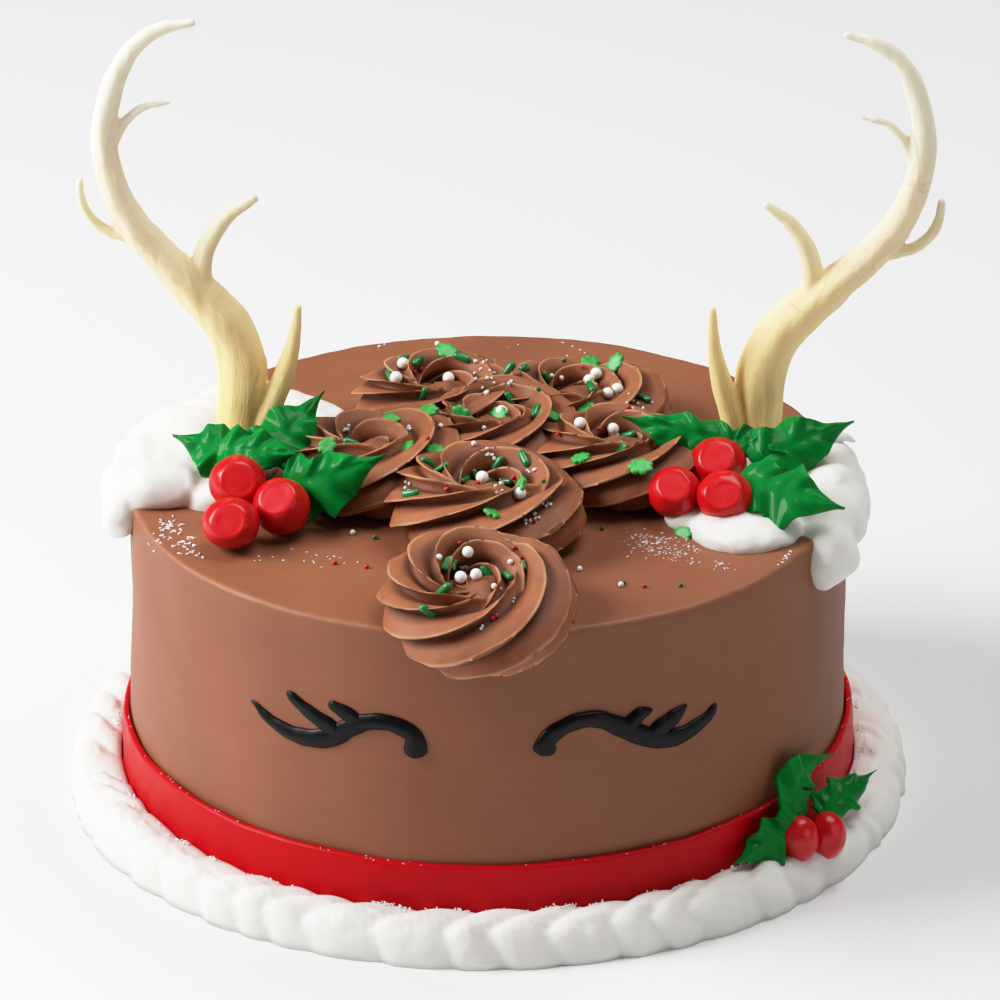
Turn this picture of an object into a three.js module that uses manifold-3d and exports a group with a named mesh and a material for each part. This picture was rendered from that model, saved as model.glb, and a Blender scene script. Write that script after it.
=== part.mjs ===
// Reindeer cake: a round chocolate-iced cake with a red sash, a white icing border, piped rosettes,
// two moulded antlers, holly, berries and closed eyes. Millimetres, +Z up. The origin is the centre
// of the cake's foot, on the surface it stands on, and the face looks along -Y.
import * as THREE from "three";
import { mergeVertices } from "three/addons/utils/BufferGeometryUtils.js";
import Module from "manifold-3d";

const wasm = await Module();
wasm.setup();

// Driving dimensions
const CAKE_HEIGHT = 98;
const CAKE_TOP_R = 105;
const CAKE_FOOT_R = 107.5;
const CAKE_EDGE_R = 2;
const ROUND_STEPS = 54;
const GAP = 0.3;
const MERGE_MM = 0.001;
const CUT_TOLERANCE = 0.12;

const SASH_TOP = 26;
const SASH_FOOT = 1;
const SASH_THICKNESS = 2.2;

const BORDER_OUTER_R = 126.5;
const BORDER_HEIGHT = 13.5;
const BORDER_LUMPS = 40;
const BORDER_STEPS_PER_LUMP = 3;

const ROSETTE_RIDGES = 8;
const RIDGE_DEPTH = 0.24;
const RIDGE_SHARPNESS = 0.8;
const SPRINKLES_PER_ROSETTE = 5;
const PEARL_R = 1.9;

const BERRY_R = 8.5;
const LEAF_THICKNESS = 2.2;
const LEAF_CROWN = 0.8;
const LEAF_WAVE = 0.6;
const LEAF_END_GROW = 3;
const EYE_RELIEF = 0.3;
const SEED = 7;

const DEG = Math.PI / 180;
const vec = (x, y, z) => new THREE.Vector3(x, y, z);
const steps = (count, make) => Array.from({ length: count }, (_, i) => make(i));

const look = (color, roughness) => ({ color, roughness, metalness: 0 });
const CHOCOLATE = look(0x96694f, 0.6);
const RED_SASH = look(0xc4161f, 0.35);
const WHITE_ICING = look(0xf1efe8, 0.5);
const GREEN_ICING = look(0x07813a, 0.35);
const RED_ICING = look(0xc8141c, 0.35);
const BLACK_ICING = look(0x18181c, 0.3);
const ANTLER_IVORY = look(0xe6d3a4, 0.6);

// Solids and meshes

// A closed geometry as a solid whose faces point outward.
function toSolid(geometry) {
  geometry.deleteAttribute("normal");
  geometry.deleteAttribute("uv");
  const merged = mergeVertices(geometry, MERGE_MM);
  const corners = merged.index.array;
  const triangles = [];
  for (let i = 0; i < corners.length; i += 3) {
    const [a, b, c] = corners.slice(i, i + 3);
    if (a !== b && b !== c && c !== a) triangles.push([a, b, c]);
  }
  const solidOf = (faces) =>
    new wasm.Manifold(
      new wasm.Mesh({
        numProp: 3,
        vertProperties: merged.attributes.position.array,
        triVerts: new Uint32Array(faces.flat()),
      }),
    );
  const solid = solidOf(triangles);
  return solid.volume() > 0 ? solid : solidOf(triangles.map(([a, b, c]) => [a, c, b]));
}

function toMesh(name, solid, { color, roughness, metalness }) {
  const { vertProperties, triVerts } = solid.getMesh();
  const geometry = new THREE.BufferGeometry();
  geometry.setAttribute("position", new THREE.BufferAttribute(vertProperties, 3));
  geometry.setIndex(new THREE.BufferAttribute(triVerts, 1));
  geometry.computeVertexNormals();
  const mesh = new THREE.Mesh(
    geometry,
    new THREE.MeshStandardMaterial({ color, roughness, metalness }),
  );
  mesh.name = name;
  return mesh;
}

const unite = (solids) => solids.reduce((a, b) => a.add(b));
const largest = (solid) => solid.decompose().reduce((a, b) => (b.volume() > a.volume() ? b : a));

// Cuts a piece by the ones it leans on, and drops any loose scrap.
const cutBy = (solid, cutters) =>
  largest(cutters.reduce((a, b) => a.subtract(b), solid)).simplify(CUT_TOLERANCE);

// Joins rings that have the same number of points, and closes both ends with a fan.
function ringSolid(rings, startPoint, endPoint) {
  const count = rings[0].length;
  const last = (rings.length - 1) * count;
  const start = last + count;
  const end = start + 1;
  const index = [];
  for (let i = 0; i < count; i++) {
    const next = (i + 1) % count;
    index.push(start, i, next, end, last + next, last + i);
    for (let row = 0; row < last; row += count) {
      index.push(row + i, row + count + i, row + next);
      index.push(row + next, row + count + i, row + count + next);
    }
  }
  const geometry = new THREE.BufferGeometry();
  geometry.setFromPoints([...rings.flat(), startPoint, endPoint]);
  geometry.setIndex(index);
  return toSolid(geometry);
}

// An outline of [radius, height] pairs turned about the vertical axis.
function turned(outline, segments) {
  const points = outline.map(([r, z]) => new THREE.Vector2(r, z));
  return new THREE.LatheGeometry(points, segments).rotateX(Math.PI / 2);
}

function ellipsoid([x, y, z], [rx, ry, rz], columns, rows, turn = 0) {
  const geometry = new THREE.SphereGeometry(1, columns, rows).rotateX(Math.PI / 2);
  return toSolid(geometry.scale(rx, ry, rz).rotateZ(turn).translate(x, y, z));
}

// A round tube along a smooth curve. Its radii are spread evenly from start to end.
function tube(points, radii, sides, segments, grow = 0) {
  const curve = new THREE.CatmullRomCurve3(points, false, "centripetal");
  const frames = curve.computeFrenetFrames(segments);
  const radiusAt = (t) => {
    const at = t * (radii.length - 1);
    const low = Math.min(Math.floor(at), radii.length - 2);
    return THREE.MathUtils.lerp(radii[low], radii[low + 1], at - low) + grow;
  };
  const rings = steps(segments + 1, (s) => {
    const t = s / segments;
    return steps(sides, (i) => {
      const angle = (2 * Math.PI * i) / sides;
      return curve
        .getPointAt(t)
        .addScaledVector(frames.normals[s], radiusAt(t) * Math.cos(angle))
        .addScaledVector(frames.binormals[s], radiusAt(t) * Math.sin(angle));
    });
  });
  const cap = (t, way) =>
    curve.getPointAt(t).addScaledVector(curve.getTangentAt(t), way * radiusAt(t) * 0.6);
  return ringSolid(rings, cap(0, -1), cap(1, 1));
}

// Cake, sash and border

const cakeRadiusAt = (z) => THREE.MathUtils.lerp(CAKE_FOOT_R, CAKE_TOP_R, z / CAKE_HEIGHT);

// grow makes the same shape larger, as the cutter for what lies on the cake.
function cakeSolid(grow = 0) {
  const top = CAKE_HEIGHT + grow;
  const bevel = CAKE_EDGE_R * (1 - Math.SQRT1_2);
  const outline = [
    [0, -grow],
    [CAKE_FOOT_R + grow, -grow],
    [CAKE_TOP_R + grow, top - CAKE_EDGE_R],
    [CAKE_TOP_R + grow - bevel, top - bevel],
    [CAKE_TOP_R + grow - CAKE_EDGE_R, top],
    [0, top],
  ];
  return toSolid(turned(outline, ROUND_STEPS));
}

function sashSolid() {
  const inner = (z) => cakeRadiusAt(z) + GAP;
  const outline = [
    [inner(SASH_FOOT), SASH_FOOT],
    [inner(SASH_FOOT) + SASH_THICKNESS, SASH_FOOT],
    [inner(SASH_TOP) + SASH_THICKNESS, SASH_TOP],
    [inner(SASH_TOP), SASH_TOP],
    [inner(SASH_FOOT), SASH_FOOT],
  ];
  return toSolid(turned(outline, ROUND_STEPS));
}

// The sash and the cake inside it as one solid, larger by the gap, as a cutter.
function sashCutter() {
  const outer = SASH_THICKNESS + 2 * GAP;
  const outline = [
    [0, 0],
    [cakeRadiusAt(0) + outer, 0],
    [cakeRadiusAt(SASH_TOP) + outer, SASH_TOP + GAP],
    [0, SASH_TOP + GAP],
  ];
  return toSolid(turned(outline, ROUND_STEPS));
}

// How full the border is at an angle, from 0 in a crease to 1 on a lump.
function borderFullness(angle) {
  const lump = Math.sqrt(Math.abs(Math.sin((BORDER_LUMPS * angle) / 2)));
  const sway = 0.5 + 0.25 * Math.sin(3 * angle + 1) + 0.25 * Math.sin(7 * angle + 2);
  return 0.72 * lump + 0.28 * sway;
}

// The section is drawn with its width and height from 0 to 1, and then takes its size and its
// fullness at each angle.
function borderSolid() {
  const inner = CAKE_FOOT_R + SASH_THICKNESS + 2 * GAP;
  const section = [
    [0, 0],
    [0.95, 0],
    [1, 0.36],
    [0.6, 1],
    [0, 0.8],
    [0, 0],
  ];
  const geometry = turned(
    section.map(([across, up]) => [1 + across, up]),
    BORDER_LUMPS * BORDER_STEPS_PER_LUMP,
  );
  const position = geometry.attributes.position;
  const point = vec(0, 0, 0);
  for (let i = 0; i < position.count; i++) {
    point.fromBufferAttribute(position, i);
    const angle = Math.atan2(point.y, point.x);
    const across = Math.hypot(point.x, point.y) - 1;
    const full = borderFullness(angle);
    const radius = inner + across * (BORDER_OUTER_R - inner) * (0.84 + 0.16 * full);
    const height = point.z * BORDER_HEIGHT * (0.76 + 0.24 * full);
    position.setXYZ(i, radius * Math.cos(angle), radius * Math.sin(angle), height);
  }
  return toSolid(geometry);
}

// Rosettes: a ridged rope coiled once round, so that each ridge winds from the rim to the middle.
// Each has its place on top of the cake. tilt tips it forward, and lean shifts its top sideways.

const ROSETTES = [
  { name: "rosette_front", at: [-3, -90, -4], r: 29.5, height: 20, turn: 10, tilt: 20, foot: -1 },
  { name: "rosette_second", at: [-0.5, -38, 0], r: 31.5, height: 20, turn: 0 },
  { name: "rosette_left", at: [-32, -9, 0], r: 29.5, height: 19, turn: 25, lean: [-1, 5] },
  { name: "rosette_right", at: [37, -5, 0], r: 28, height: 19, turn: 35, lean: [4, 0] },
  { name: "rosette_centre", at: [2, 13, 0], r: 27, height: 19, turn: 15, lean: [3, -2] },
  { name: "rosette_back_left", at: [-14.5, 41, 0], r: 29, height: 17, turn: 5, lean: [3, -3] },
  { name: "rosette_back_right", at: [26.5, 36, 0], r: 29, height: 17, turn: 30, lean: [1, -2] },
];
const FOOT_ANGLE = 60;
const ROSETTE_ROWS = [-FOOT_ANGLE, -25, 5, 32, 60, 90, 122, 155];
const ROSETTE_LANES = 24;
const CUTTER_ROWS = [-FOOT_ANGLE, -25, 15, 50, 90, 122, 155];
const CUTTER_LANES = 16;
const CUTTER_GROW = 1.6;

function placeRosette(spec, point) {
  const [leanX, leanY] = spec.lean ?? [0, 0];
  const lifted = point.z / spec.height;
  return point
    .add(vec(leanX * lifted, leanY * lifted, 0))
    .applyAxisAngle(vec(1, 0, 0), (spec.tilt ?? 0) * DEG)
    .add(vec(spec.at[0], spec.at[1], spec.at[2] + GAP));
}

// Radius and height of the rope's surface at an angle across it, from its outer foot over its top
// to the middle. size is how full the rope is there, less in a groove than on a ridge.
function ropeProfile(spec, across, size, grow = 0) {
  const wide = (spec.r + grow) / 2;
  const tall = (spec.height + grow) / 2;
  const sink = across < 0 ? -Math.sin(across) / Math.sin(FOOT_ANGLE * DEG) : 0;
  const rise = across < 0 ? -sink : size * Math.sin(across);
  return [wide * (1 + size * Math.cos(across)), tall * (1 + rise) + (spec.foot ?? 0) * sink];
}

// lane is the angle at which a ridge starts, and the ridge winds on as it runs across the rope.
function rosettePoint(spec, lane, across) {
  const groove = Math.abs(Math.sin((ROSETTE_RIDGES * lane) / 2)) ** RIDGE_SHARPNESS;
  const [radius, z] = ropeProfile(spec, across, 1 - RIDGE_DEPTH * groove);
  const around = lane + across + spec.turn * DEG;
  return vec(radius * Math.cos(around), radius * Math.sin(around), z);
}

function rosetteSolid(spec) {
  const rings = ROSETTE_ROWS.map((row) =>
    steps(ROSETTE_LANES, (i) =>
      placeRosette(spec, rosettePoint(spec, (2 * Math.PI * i) / ROSETTE_LANES, row * DEG)),
    ),
  );
  const foot = vec(0, 0, spec.foot ?? 0);
  const middle = vec(0, 0, rosettePoint(spec, 0, ROSETTE_ROWS.at(-1) * DEG).z);
  return ringSolid(rings, placeRosette(spec, foot), placeRosette(spec, middle));
}

// A plain ring a little larger than the rosette, which cuts the pieces that lean on it.
function rosetteCutter(spec) {
  const profile = CUTTER_ROWS.map((row) => ropeProfile(spec, row * DEG, 1, CUTTER_GROW));
  profile[0][1] -= GAP;
  const rings = profile.map(([radius, z]) =>
    steps(CUTTER_LANES, (i) => {
      const around = (2 * Math.PI * i) / CUTTER_LANES;
      return placeRosette(spec, vec(radius * Math.cos(around), radius * Math.sin(around), z));
    }),
  );
  const end = (row) => placeRosette(spec, vec(0, 0, profile.at(row)[1]));
  return ringSolid(rings, end(0), end(-1));
}

// The same numbers on every run, from 0 to 1.
function randomSource(seed) {
  let state = seed;
  return () => {
    state = (state * 1103515245 + 12345) % 2147483648;
    return state / 2147483648;
  };
}

const random = randomSource(SEED);
const GOLDEN_ANGLE = Math.PI * (3 - Math.sqrt(5));
const SPRINKLE_ROWS = [95, 140];

// Pearls and short rods on the inner half of a rosette.
function sprinkles(spec) {
  return steps(SPRINKLES_PER_ROSETTE, (i) => {
    const across = THREE.MathUtils.lerp(...SPRINKLE_ROWS, random()) * DEG;
    const seat = placeRosette(spec, rosettePoint(spec, i * GOLDEN_ANGLE, across)).toArray();
    const length = i % 2 ? 1 : 2;
    return ellipsoid(seat, [length * PEARL_R, PEARL_R, PEARL_R], 5, 3, random() * Math.PI);
  });
}

// Antlers: one moulded piece each, a beam with four tines. Points are [outward, height, forward]
// from the foot of the beam, which stands at foot on top of the cake, and lean tips it outward.

const ANTLER_BEAM = {
  points: [
    [0.5, 0, 0], [-1, 14, 0], [-1.5, 30, 0], [1.5, 40, 0], [6.5, 47, 0], [22.5, 65, 0],
    [29.5, 74, 0], [34.5, 84, 0], [37.5, 102, 0], [35.5, 114, 0], [31.5, 124, 0],
    [26.5, 131, 0], [20, 135, 0], [10.5, 137, 0],
  ],
  radii: [6.9, 7.2, 7.5, 7, 6, 5.2, 4.6, 4.2, 3.8, 3.3, 2.5, 1.4],
};
const ANTLER_TINES = [
  {
    points: [[-4, 2, 3], [-9.5, 16, 4], [-13.5, 26, 4], [-17, 38, 4], [-18.5, 49, 4]],
    radii: [3.8, 3.8, 3.3, 2.3, 1.3],
  },
  {
    points: [[9.5, 52, 0], [9.5, 61, 0], [7.5, 68, 0], [1.5, 76.5, 0], [-6.5, 82, 0]],
    radii: [3.4, 3.2, 2.9, 2.3, 1.3],
  },
  {
    points: [[27, 69, 0], [37.5, 72, 0], [42.5, 77, 0], [44.5, 83, 0], [44.5, 88, 0]],
    radii: [2.2, 2, 1.8, 1.5, 1.2],
  },
  {
    points: [[37, 93, 0], [32.5, 104, 0], [26, 110.5, 0], [17.5, 112, 0]],
    radii: [2.2, 1.9, 1.4, 0.7],
  },
];
const BEAM_SIDES = 7;
const TINE_SIDES = 5;
const ANTLERS = {
  antler_left: { foot: [-73.5, 9, 4], side: -1, lean: 0 },
  antler_right: { foot: [80, 9, 1], side: 1, lean: 6 },
};

function antlerSolid({ foot, side, lean }, grow = 0) {
  const place = ([outward, height, forward]) =>
    vec(outward, -forward, height)
      .applyAxisAngle(vec(0, 1, 0), lean * DEG)
      .multiply(vec(side, 1, 1))
      .add(vec(...foot));
  const beam = tube(ANTLER_BEAM.points.map(place), ANTLER_BEAM.radii, BEAM_SIDES, 18, grow);
  const tines = ANTLER_TINES.map((t) => tube(t.points.map(place), t.radii, TINE_SIDES, 6, grow));
  return unite([beam, ...tines]);
}

// Soft icing mounds at the foot of each antler: lobes as [x, y, z above the cake] and three radii.

const MOUNDS = {
  mound_left: [
    [[-87, 13, 3], [25, 27, 14]],
    [[-62, 37, 1], [21, 17, 8]],
    [[-103, -7, -1], [11, 18, 11]],
    [[-83, -12, 1], [20, 13, 10]],
  ],
  mound_right: [
    [[92, -2, 1], [20, 25, 11]],
    [[101, -19, -1], [12.5, 22, 12]],
    [[99, -39, -7], [9.5, 11, 11]],
    [[75, -38, 0], [17, 16.5, 8]],
    [[79, -22, 1], [17, 14, 9]],
    [[60, -28, 1], [9, 11, 6]],
    [[104, 4, 6], [5, 5, 7]],
  ],
};

const moundSolid = (lobes, grow = 0) =>
  unite(lobes.map(([at, radii]) => ellipsoid(at, radii.map((r) => r + grow), 10, 7)));

// Berries, with their centre and the share of the berry's radius along each axis.

const TOP_BERRIES = {
  berry_left_back: { at: [-72.6, -27, 11], scale: [1, 1, 0.95] },
  berry_left_inner: { at: [-59.6, -38, 8.4], scale: [1, 1, 0.98] },
  berry_left_front: { at: [-74, -47.5, 7.6], scale: [1, 1, 0.88] },
  berry_right_back: { at: [68, -17, 12], scale: [1, 1, 0.88] },
  berry_right_inner: { at: [55, -31, 9], scale: [0.92, 0.95, 0.9] },
  berry_right_front: { at: [69.5, -36, 10], scale: [1, 0.98, 0.88] },
};
const LOW_BERRIES = {
  berry_low_left: { at: [90.5, -77, 17], scale: [0.7, 0.66, 0.84] },
  berry_low_right: { at: [99, -71, 15], scale: [0.66, 0.66, 0.86] },
};

const berrySolid = ({ at, scale }, grow = 0) =>
  ellipsoid(at, scale.map((s) => s * BERRY_R + grow), 10, 7);

// Holly leaves: a wavy strip along a curve through three points, its edges drawn out to prickles.
// face is the side that its upper surface looks to.

const LEAF_SPREAD = [0.45, 1.1, 0.6, 1.05, 0.5, 0.75, 0.32, 0.16];
const TOP_LEAVES = {
  leaf_left_outer: {
    path: [[-70, -17, 13], [-80, -12, 15], [-92, -5, 16]],
    width: 8.5,
    face: [-0.2, -0.6, 0.8],
  },
  leaf_left_inner: {
    path: [[-64, -16, 13], [-58, -7, 18], [-48, 6, 25]],
    width: 9,
    face: [0, -0.8, 0.6],
  },
  leaf_left_front: {
    path: [[-58, -26, 11], [-48, -36, 16], [-29, -32, 22]],
    width: 11,
    face: [-0.3, -0.9, 0.4],
  },
  leaf_left_middle: {
    path: [[-78, -14, 15], [-67, -19, 17], [-54, -22, 17]],
    width: 7,
    face: [0, -0.7, 0.7],
  },
  leaf_right_inner: {
    path: [[73, -12, 15], [58, -11, 20], [40, -6, 22]],
    width: 7.5,
    face: [0, -0.8, 0.6],
  },
  leaf_right_outer: {
    path: [[78, -19, 12], [91, -13, 17], [108, -6, 20]],
    width: 9,
    face: [0.2, -0.7, 0.7],
  },
  leaf_right_front: {
    path: [[75, -30, 14], [87, -41, 13], [104, -45, 10]],
    width: 12,
    face: [0.2, -0.8, 0.6],
  },
  leaf_right_middle: {
    path: [[72, -11, 16], [80, -14, 17], [88, -18, 15]],
    width: 6,
    face: [0, -0.8, 0.6],
  },
};
const LOW_LEAVES = {
  leaf_low_upper: {
    path: [[91, -70, 21], [84, -73, 38], [101, -48, 30]],
    width: 7.5,
    face: [0.7, -0.7, 0.3],
  },
  leaf_low_right: {
    path: [[97, -65, 18], [104, -58, 22], [114, -40, 20]],
    width: 6.5,
    face: [0.5, -0.5, 0.7],
  },
  leaf_low_left: {
    path: [[91, -75, 21], [83, -80, 18], [71, -89, 15]],
    width: 8.5,
    face: [0.6, -0.8, 0.3],
  },
};

function leafSolid({ path, width, face }, grow = 0) {
  const curve = new THREE.QuadraticBezierCurve3(...path.map((point) => vec(...point)));
  const upper = LEAF_CROWN + LEAF_THICKNESS / 2 + grow;
  const lower = LEAF_CROWN - LEAF_THICKNESS / 2 - grow;
  const rings = LEAF_SPREAD.map((spread, i) => {
    const t = (i + 0.6) / (LEAF_SPREAD.length + 0.4);
    const tangent = curve.getTangent(t);
    const across = vec(...face).cross(tangent).normalize();
    const normal = tangent.clone().cross(across);
    const half = spread * width + grow;
    const wave = i % 2 ? LEAF_WAVE : -LEAF_WAVE;
    const at = (side, lift) =>
      curve.getPoint(t).addScaledVector(across, side * half).addScaledVector(normal, lift);
    return [
      at(-1, wave),
      at(-0.45, upper),
      at(0.45, upper),
      at(1, wave),
      at(0.45, lower),
      at(-0.45, lower),
    ];
  });
  const end = (t, way) =>
    curve.getPoint(t).addScaledVector(curve.getTangent(t), way * LEAF_END_GROW * grow);
  return ringSolid(rings, end(0, -1), end(1, 1));
}

// Closed eyes: piped strokes that hug the side of the cake. Points are [angle from the front in
// degrees, height].

const EYES = {
  lash_left: [
    {
      points: [
        [-11.6, 61.2], [-12.2, 65.6], [-16.5, 68], [-22, 64.4], [-28, 59.2], [-34, 60.2],
        [-39.6, 65.6],
      ],
      radii: [2.9, 2.2, 2, 2.5, 2.4, 1.8, 0.7],
    },
    { points: [[-24.5, 62.5], [-28.4, 67], [-32.6, 71.8]], radii: [2, 1.7, 1] },
    { points: [[-20.5, 66.5], [-25, 71.2]], radii: [1.8, 1.2] },
  ],
  lash_right: [
    {
      points: [
        [9.1, 62], [11, 66.6], [16, 68.6], [21.5, 64.4], [28, 58.6], [34, 59.4], [38.4, 64.6],
      ],
      radii: [2.6, 2, 2.2, 2.5, 2.4, 1.9, 0.9],
    },
    { points: [[27.6, 60.6], [29.8, 63.4], [32.6, 67.2]], radii: [2.2, 2, 0.9] },
    { points: [[22, 64.8], [24, 67.2], [26.6, 68.2]], radii: [1.8, 1.4, 0.6] },
  ],
};
const STROKE_SIDES = 5;
const SEGMENTS_PER_POINT = 1.7;

function eyeSolid(strokes) {
  const onSide = ([angle, z]) => {
    const r = cakeRadiusAt(z) + EYE_RELIEF + GAP;
    return vec(r * Math.sin(angle * DEG), -r * Math.cos(angle * DEG), z);
  };
  return unite(
    strokes.map(({ points, radii }) =>
      tube(points.map(onSide), radii, STROKE_SIDES, Math.round(SEGMENTS_PER_POINT * points.length)),
    ),
  );
}

// Assembly: the pieces on top are built and cut in the frame of the cake's top.

const cake = new THREE.Group();
const top = new THREE.Group();
top.position.z = CAKE_HEIGHT;
cake.add(top);

const grownBy = (build) => (spec) => build(spec, GAP);
const antlers = Object.values(ANTLERS).map(grownBy(antlerSolid));
const rosettes = ROSETTES.map(rosetteCutter);
const mounds = Object.values(MOUNDS).map(grownBy(moundSolid));
const topBerries = Object.values(TOP_BERRIES).map(grownBy(berrySolid));
const topLeaves = Object.values(TOP_LEAVES).map(grownBy(leafSolid));
const lowBerries = Object.values(LOW_BERRIES).map(grownBy(berrySolid));
const lowLeaves = Object.values(LOW_LEAVES).map(grownBy(leafSolid));
const grownCake = cakeSolid(GAP);
const grownSash = sashCutter();
const topOfCake = grownCake.translate([0, 0, -CAKE_HEIGHT]);

cake.add(toMesh("cake", cakeSolid(), CHOCOLATE));
cake.add(toMesh("sash", sashSolid(), RED_SASH));
cake.add(toMesh("border", cutBy(borderSolid(), [...lowBerries, ...lowLeaves]), WHITE_ICING));
for (const [name, strokes] of Object.entries(EYES)) {
  cake.add(toMesh(name, cutBy(eyeSolid(strokes), [grownCake]), BLACK_ICING));
}
Object.entries(LOW_BERRIES).forEach(([name, spec], i) => {
  const under = [grownCake, grownSash, ...lowBerries.slice(0, i)];
  cake.add(toMesh(name, cutBy(berrySolid(spec), under), RED_ICING));
});
Object.entries(LOW_LEAVES).forEach(([name, spec], i) => {
  const under = [grownCake, grownSash, ...lowBerries, ...lowLeaves.slice(0, i)];
  cake.add(toMesh(name, cutBy(leafSolid(spec), under), GREEN_ICING));
});

for (const [name, spec] of Object.entries(ANTLERS)) {
  top.add(toMesh(name, cutBy(antlerSolid(spec), [topOfCake]), ANTLER_IVORY));
}
ROSETTES.forEach((spec, i) => {
  const under = [topOfCake, ...topBerries, ...rosettes.slice(0, i)];
  const topped = unite([rosetteSolid(spec), ...sprinkles(spec)]);
  top.add(toMesh(spec.name, cutBy(topped, under), CHOCOLATE));
});
for (const [name, lobes] of Object.entries(MOUNDS)) {
  const under = [topOfCake, ...antlers, ...rosettes];
  top.add(toMesh(name, cutBy(moundSolid(lobes), under), WHITE_ICING));
}
Object.entries(TOP_BERRIES).forEach(([name, spec], i) => {
  const under = [topOfCake, ...mounds, ...topBerries.slice(0, i)];
  top.add(toMesh(name, cutBy(berrySolid(spec), under), RED_ICING));
});
Object.entries(TOP_LEAVES).forEach(([name, spec], i) => {
  const under = [topOfCake, ...antlers, ...rosettes, ...mounds, ...topBerries];
  top.add(toMesh(name, cutBy(leafSolid(spec), [...under, ...topLeaves.slice(0, i)]), GREEN_ICING));
});

export default cake;
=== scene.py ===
import math

import bmesh
import bpy
import numpy as np
from mathutils import Matrix, Vector
from mathutils.bvhtree import BVHTree
from mathutils.kdtree import KDTree


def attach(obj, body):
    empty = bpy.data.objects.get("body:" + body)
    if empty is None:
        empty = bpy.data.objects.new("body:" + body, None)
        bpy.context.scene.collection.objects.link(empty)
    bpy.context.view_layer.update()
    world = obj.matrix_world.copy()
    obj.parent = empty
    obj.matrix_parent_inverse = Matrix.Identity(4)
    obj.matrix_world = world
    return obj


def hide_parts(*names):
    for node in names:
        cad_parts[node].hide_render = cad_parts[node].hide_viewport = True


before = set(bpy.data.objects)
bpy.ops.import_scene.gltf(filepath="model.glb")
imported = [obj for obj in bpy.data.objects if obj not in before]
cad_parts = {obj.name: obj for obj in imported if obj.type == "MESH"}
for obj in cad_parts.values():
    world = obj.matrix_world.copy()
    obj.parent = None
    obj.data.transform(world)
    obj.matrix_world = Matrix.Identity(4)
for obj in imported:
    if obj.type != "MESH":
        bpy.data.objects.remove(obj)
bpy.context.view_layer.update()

# Sizes in this script are in millimetres and become metres when a mesh is made.
MM = 0.001
TAU = 2 * math.pi
TINY = 1e-6
# Points times this lie flat.
FLAT = np.array([1, 1, 0])

# The cake's main sizes
CAKE_HEIGHT = 98.0
CAKE_TOP_R = 105.0
CAKE_FOOT_R = 107.5
CAKE_EDGE_R = 1.9
TOP = np.array([0, 0, CAKE_HEIGHT])
SWELL_RISE = 1.15
SWELL_AT_FOOT = -0.4
SEGMENTS = 300

# The first seed of each kind of piece. The same seeds give the same cake on every run.
SEEDS = dict(coat=11, sash=21, border=31, rosettes=41, antlers=51, mounds=61, berries=81,
             leaves=101, lashes=131, sprinkles=7, sugar=8, border_sugar=9)


def radius_at(z):
    return CAKE_FOOT_R + (CAKE_TOP_R - CAKE_FOOT_R) * z / CAKE_HEIGHT


def coat_swell(z):
    """How far the coat stands out from the straight wall: in at the sash and out at the top."""
    return SWELL_RISE * (z / CAKE_HEIGHT) ** 1.5 + SWELL_AT_FOOT


def add_object(name, data):
    made = bpy.data.objects.new(name, data)
    bpy.context.scene.collection.objects.link(made)
    return made


# Camera, in metres and in pixels of the picture

FOCAL_PX = 7787.658
FRAME_PX = 1000.0
SENSOR = 36
FARTHEST = 50
ELEVATION = math.radians(24.8971)
ROLL = math.radians(-0.2905)
DISTANCE = 2.306106
AIM = Vector((0.00396, 0.0, 0.090476))


def make_camera():
    forward = Vector((0, math.cos(ELEVATION), -math.sin(ELEVATION)))
    right = Vector((1, 0, 0))
    up = right.cross(forward)
    across = right * math.cos(ROLL) + up * math.sin(ROLL)
    upward = up * math.cos(ROLL) - right * math.sin(ROLL)
    eye = AIM - forward * DISTANCE
    camera = add_object("camera", bpy.data.cameras.new("camera"))
    camera.data.sensor_width = SENSOR
    camera.data.lens = SENSOR * FOCAL_PX / FRAME_PX
    camera.data.clip_end = FARTHEST
    axes = Matrix((across, upward, -forward)).transposed().to_4x4()
    camera.matrix_world = Matrix.Translation(eye) @ axes
    bpy.context.scene.camera = camera
    return eye, across, upward, forward


EYE, ACROSS, UPWARD, FORWARD = make_camera()


def ray_of(px, py):
    """The direction from the camera through a pixel of the 1000 by 1000 picture."""
    half = FRAME_PX / 2
    return (FORWARD * FOCAL_PX + ACROSS * (px - half) - UPWARD * (py - half)).normalized()


# Numbers


class Waves:
    """A smooth random field: many sine waves of about one length in random directions."""

    COUNT = 28
    SPREAD = 0.5

    def __init__(self, seed, length):
        rng = np.random.default_rng(seed)
        way = unit_rows(rng.normal(size=(self.COUNT, 3)))
        sizes = length * rng.uniform(1 - self.SPREAD, 1 + self.SPREAD, size=(self.COUNT, 1))
        self.k = way * TAU / sizes
        self.phase = rng.uniform(0, TAU, self.COUNT)
        self.gain = math.sqrt(2 / self.COUNT)

    def __call__(self, points):
        return np.sin(points @ self.k.T + self.phase).sum(-1) * self.gain


def unit_rows(vectors):
    return vectors / np.linalg.norm(vectors, axis=1, keepdims=True)


def smooth_step(x):
    x = np.clip(x, 0, 1)
    return x * x * (3 - 2 * x)


def bell(x):
    return np.exp(-(x**2))


# Meshes


def grid_faces(rows, columns, looped=False):
    """Quads of a grid of rings. The last ring is joined to the first, or both ends are capped."""
    row = np.arange(rows if looped else rows - 1)[:, None] * columns
    above = (row + columns) % (rows * columns)
    column = np.arange(columns)[None, :]
    following = (column + 1) % columns
    quads = np.stack([row + column, row + following, above + following, above + column], -1)
    faces = quads.reshape(-1, 4).tolist()
    if not looped:
        faces.append(list(range(columns))[::-1])
        faces.append(list(range((rows - 1) * columns, rows * columns)))
    return faces


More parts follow.
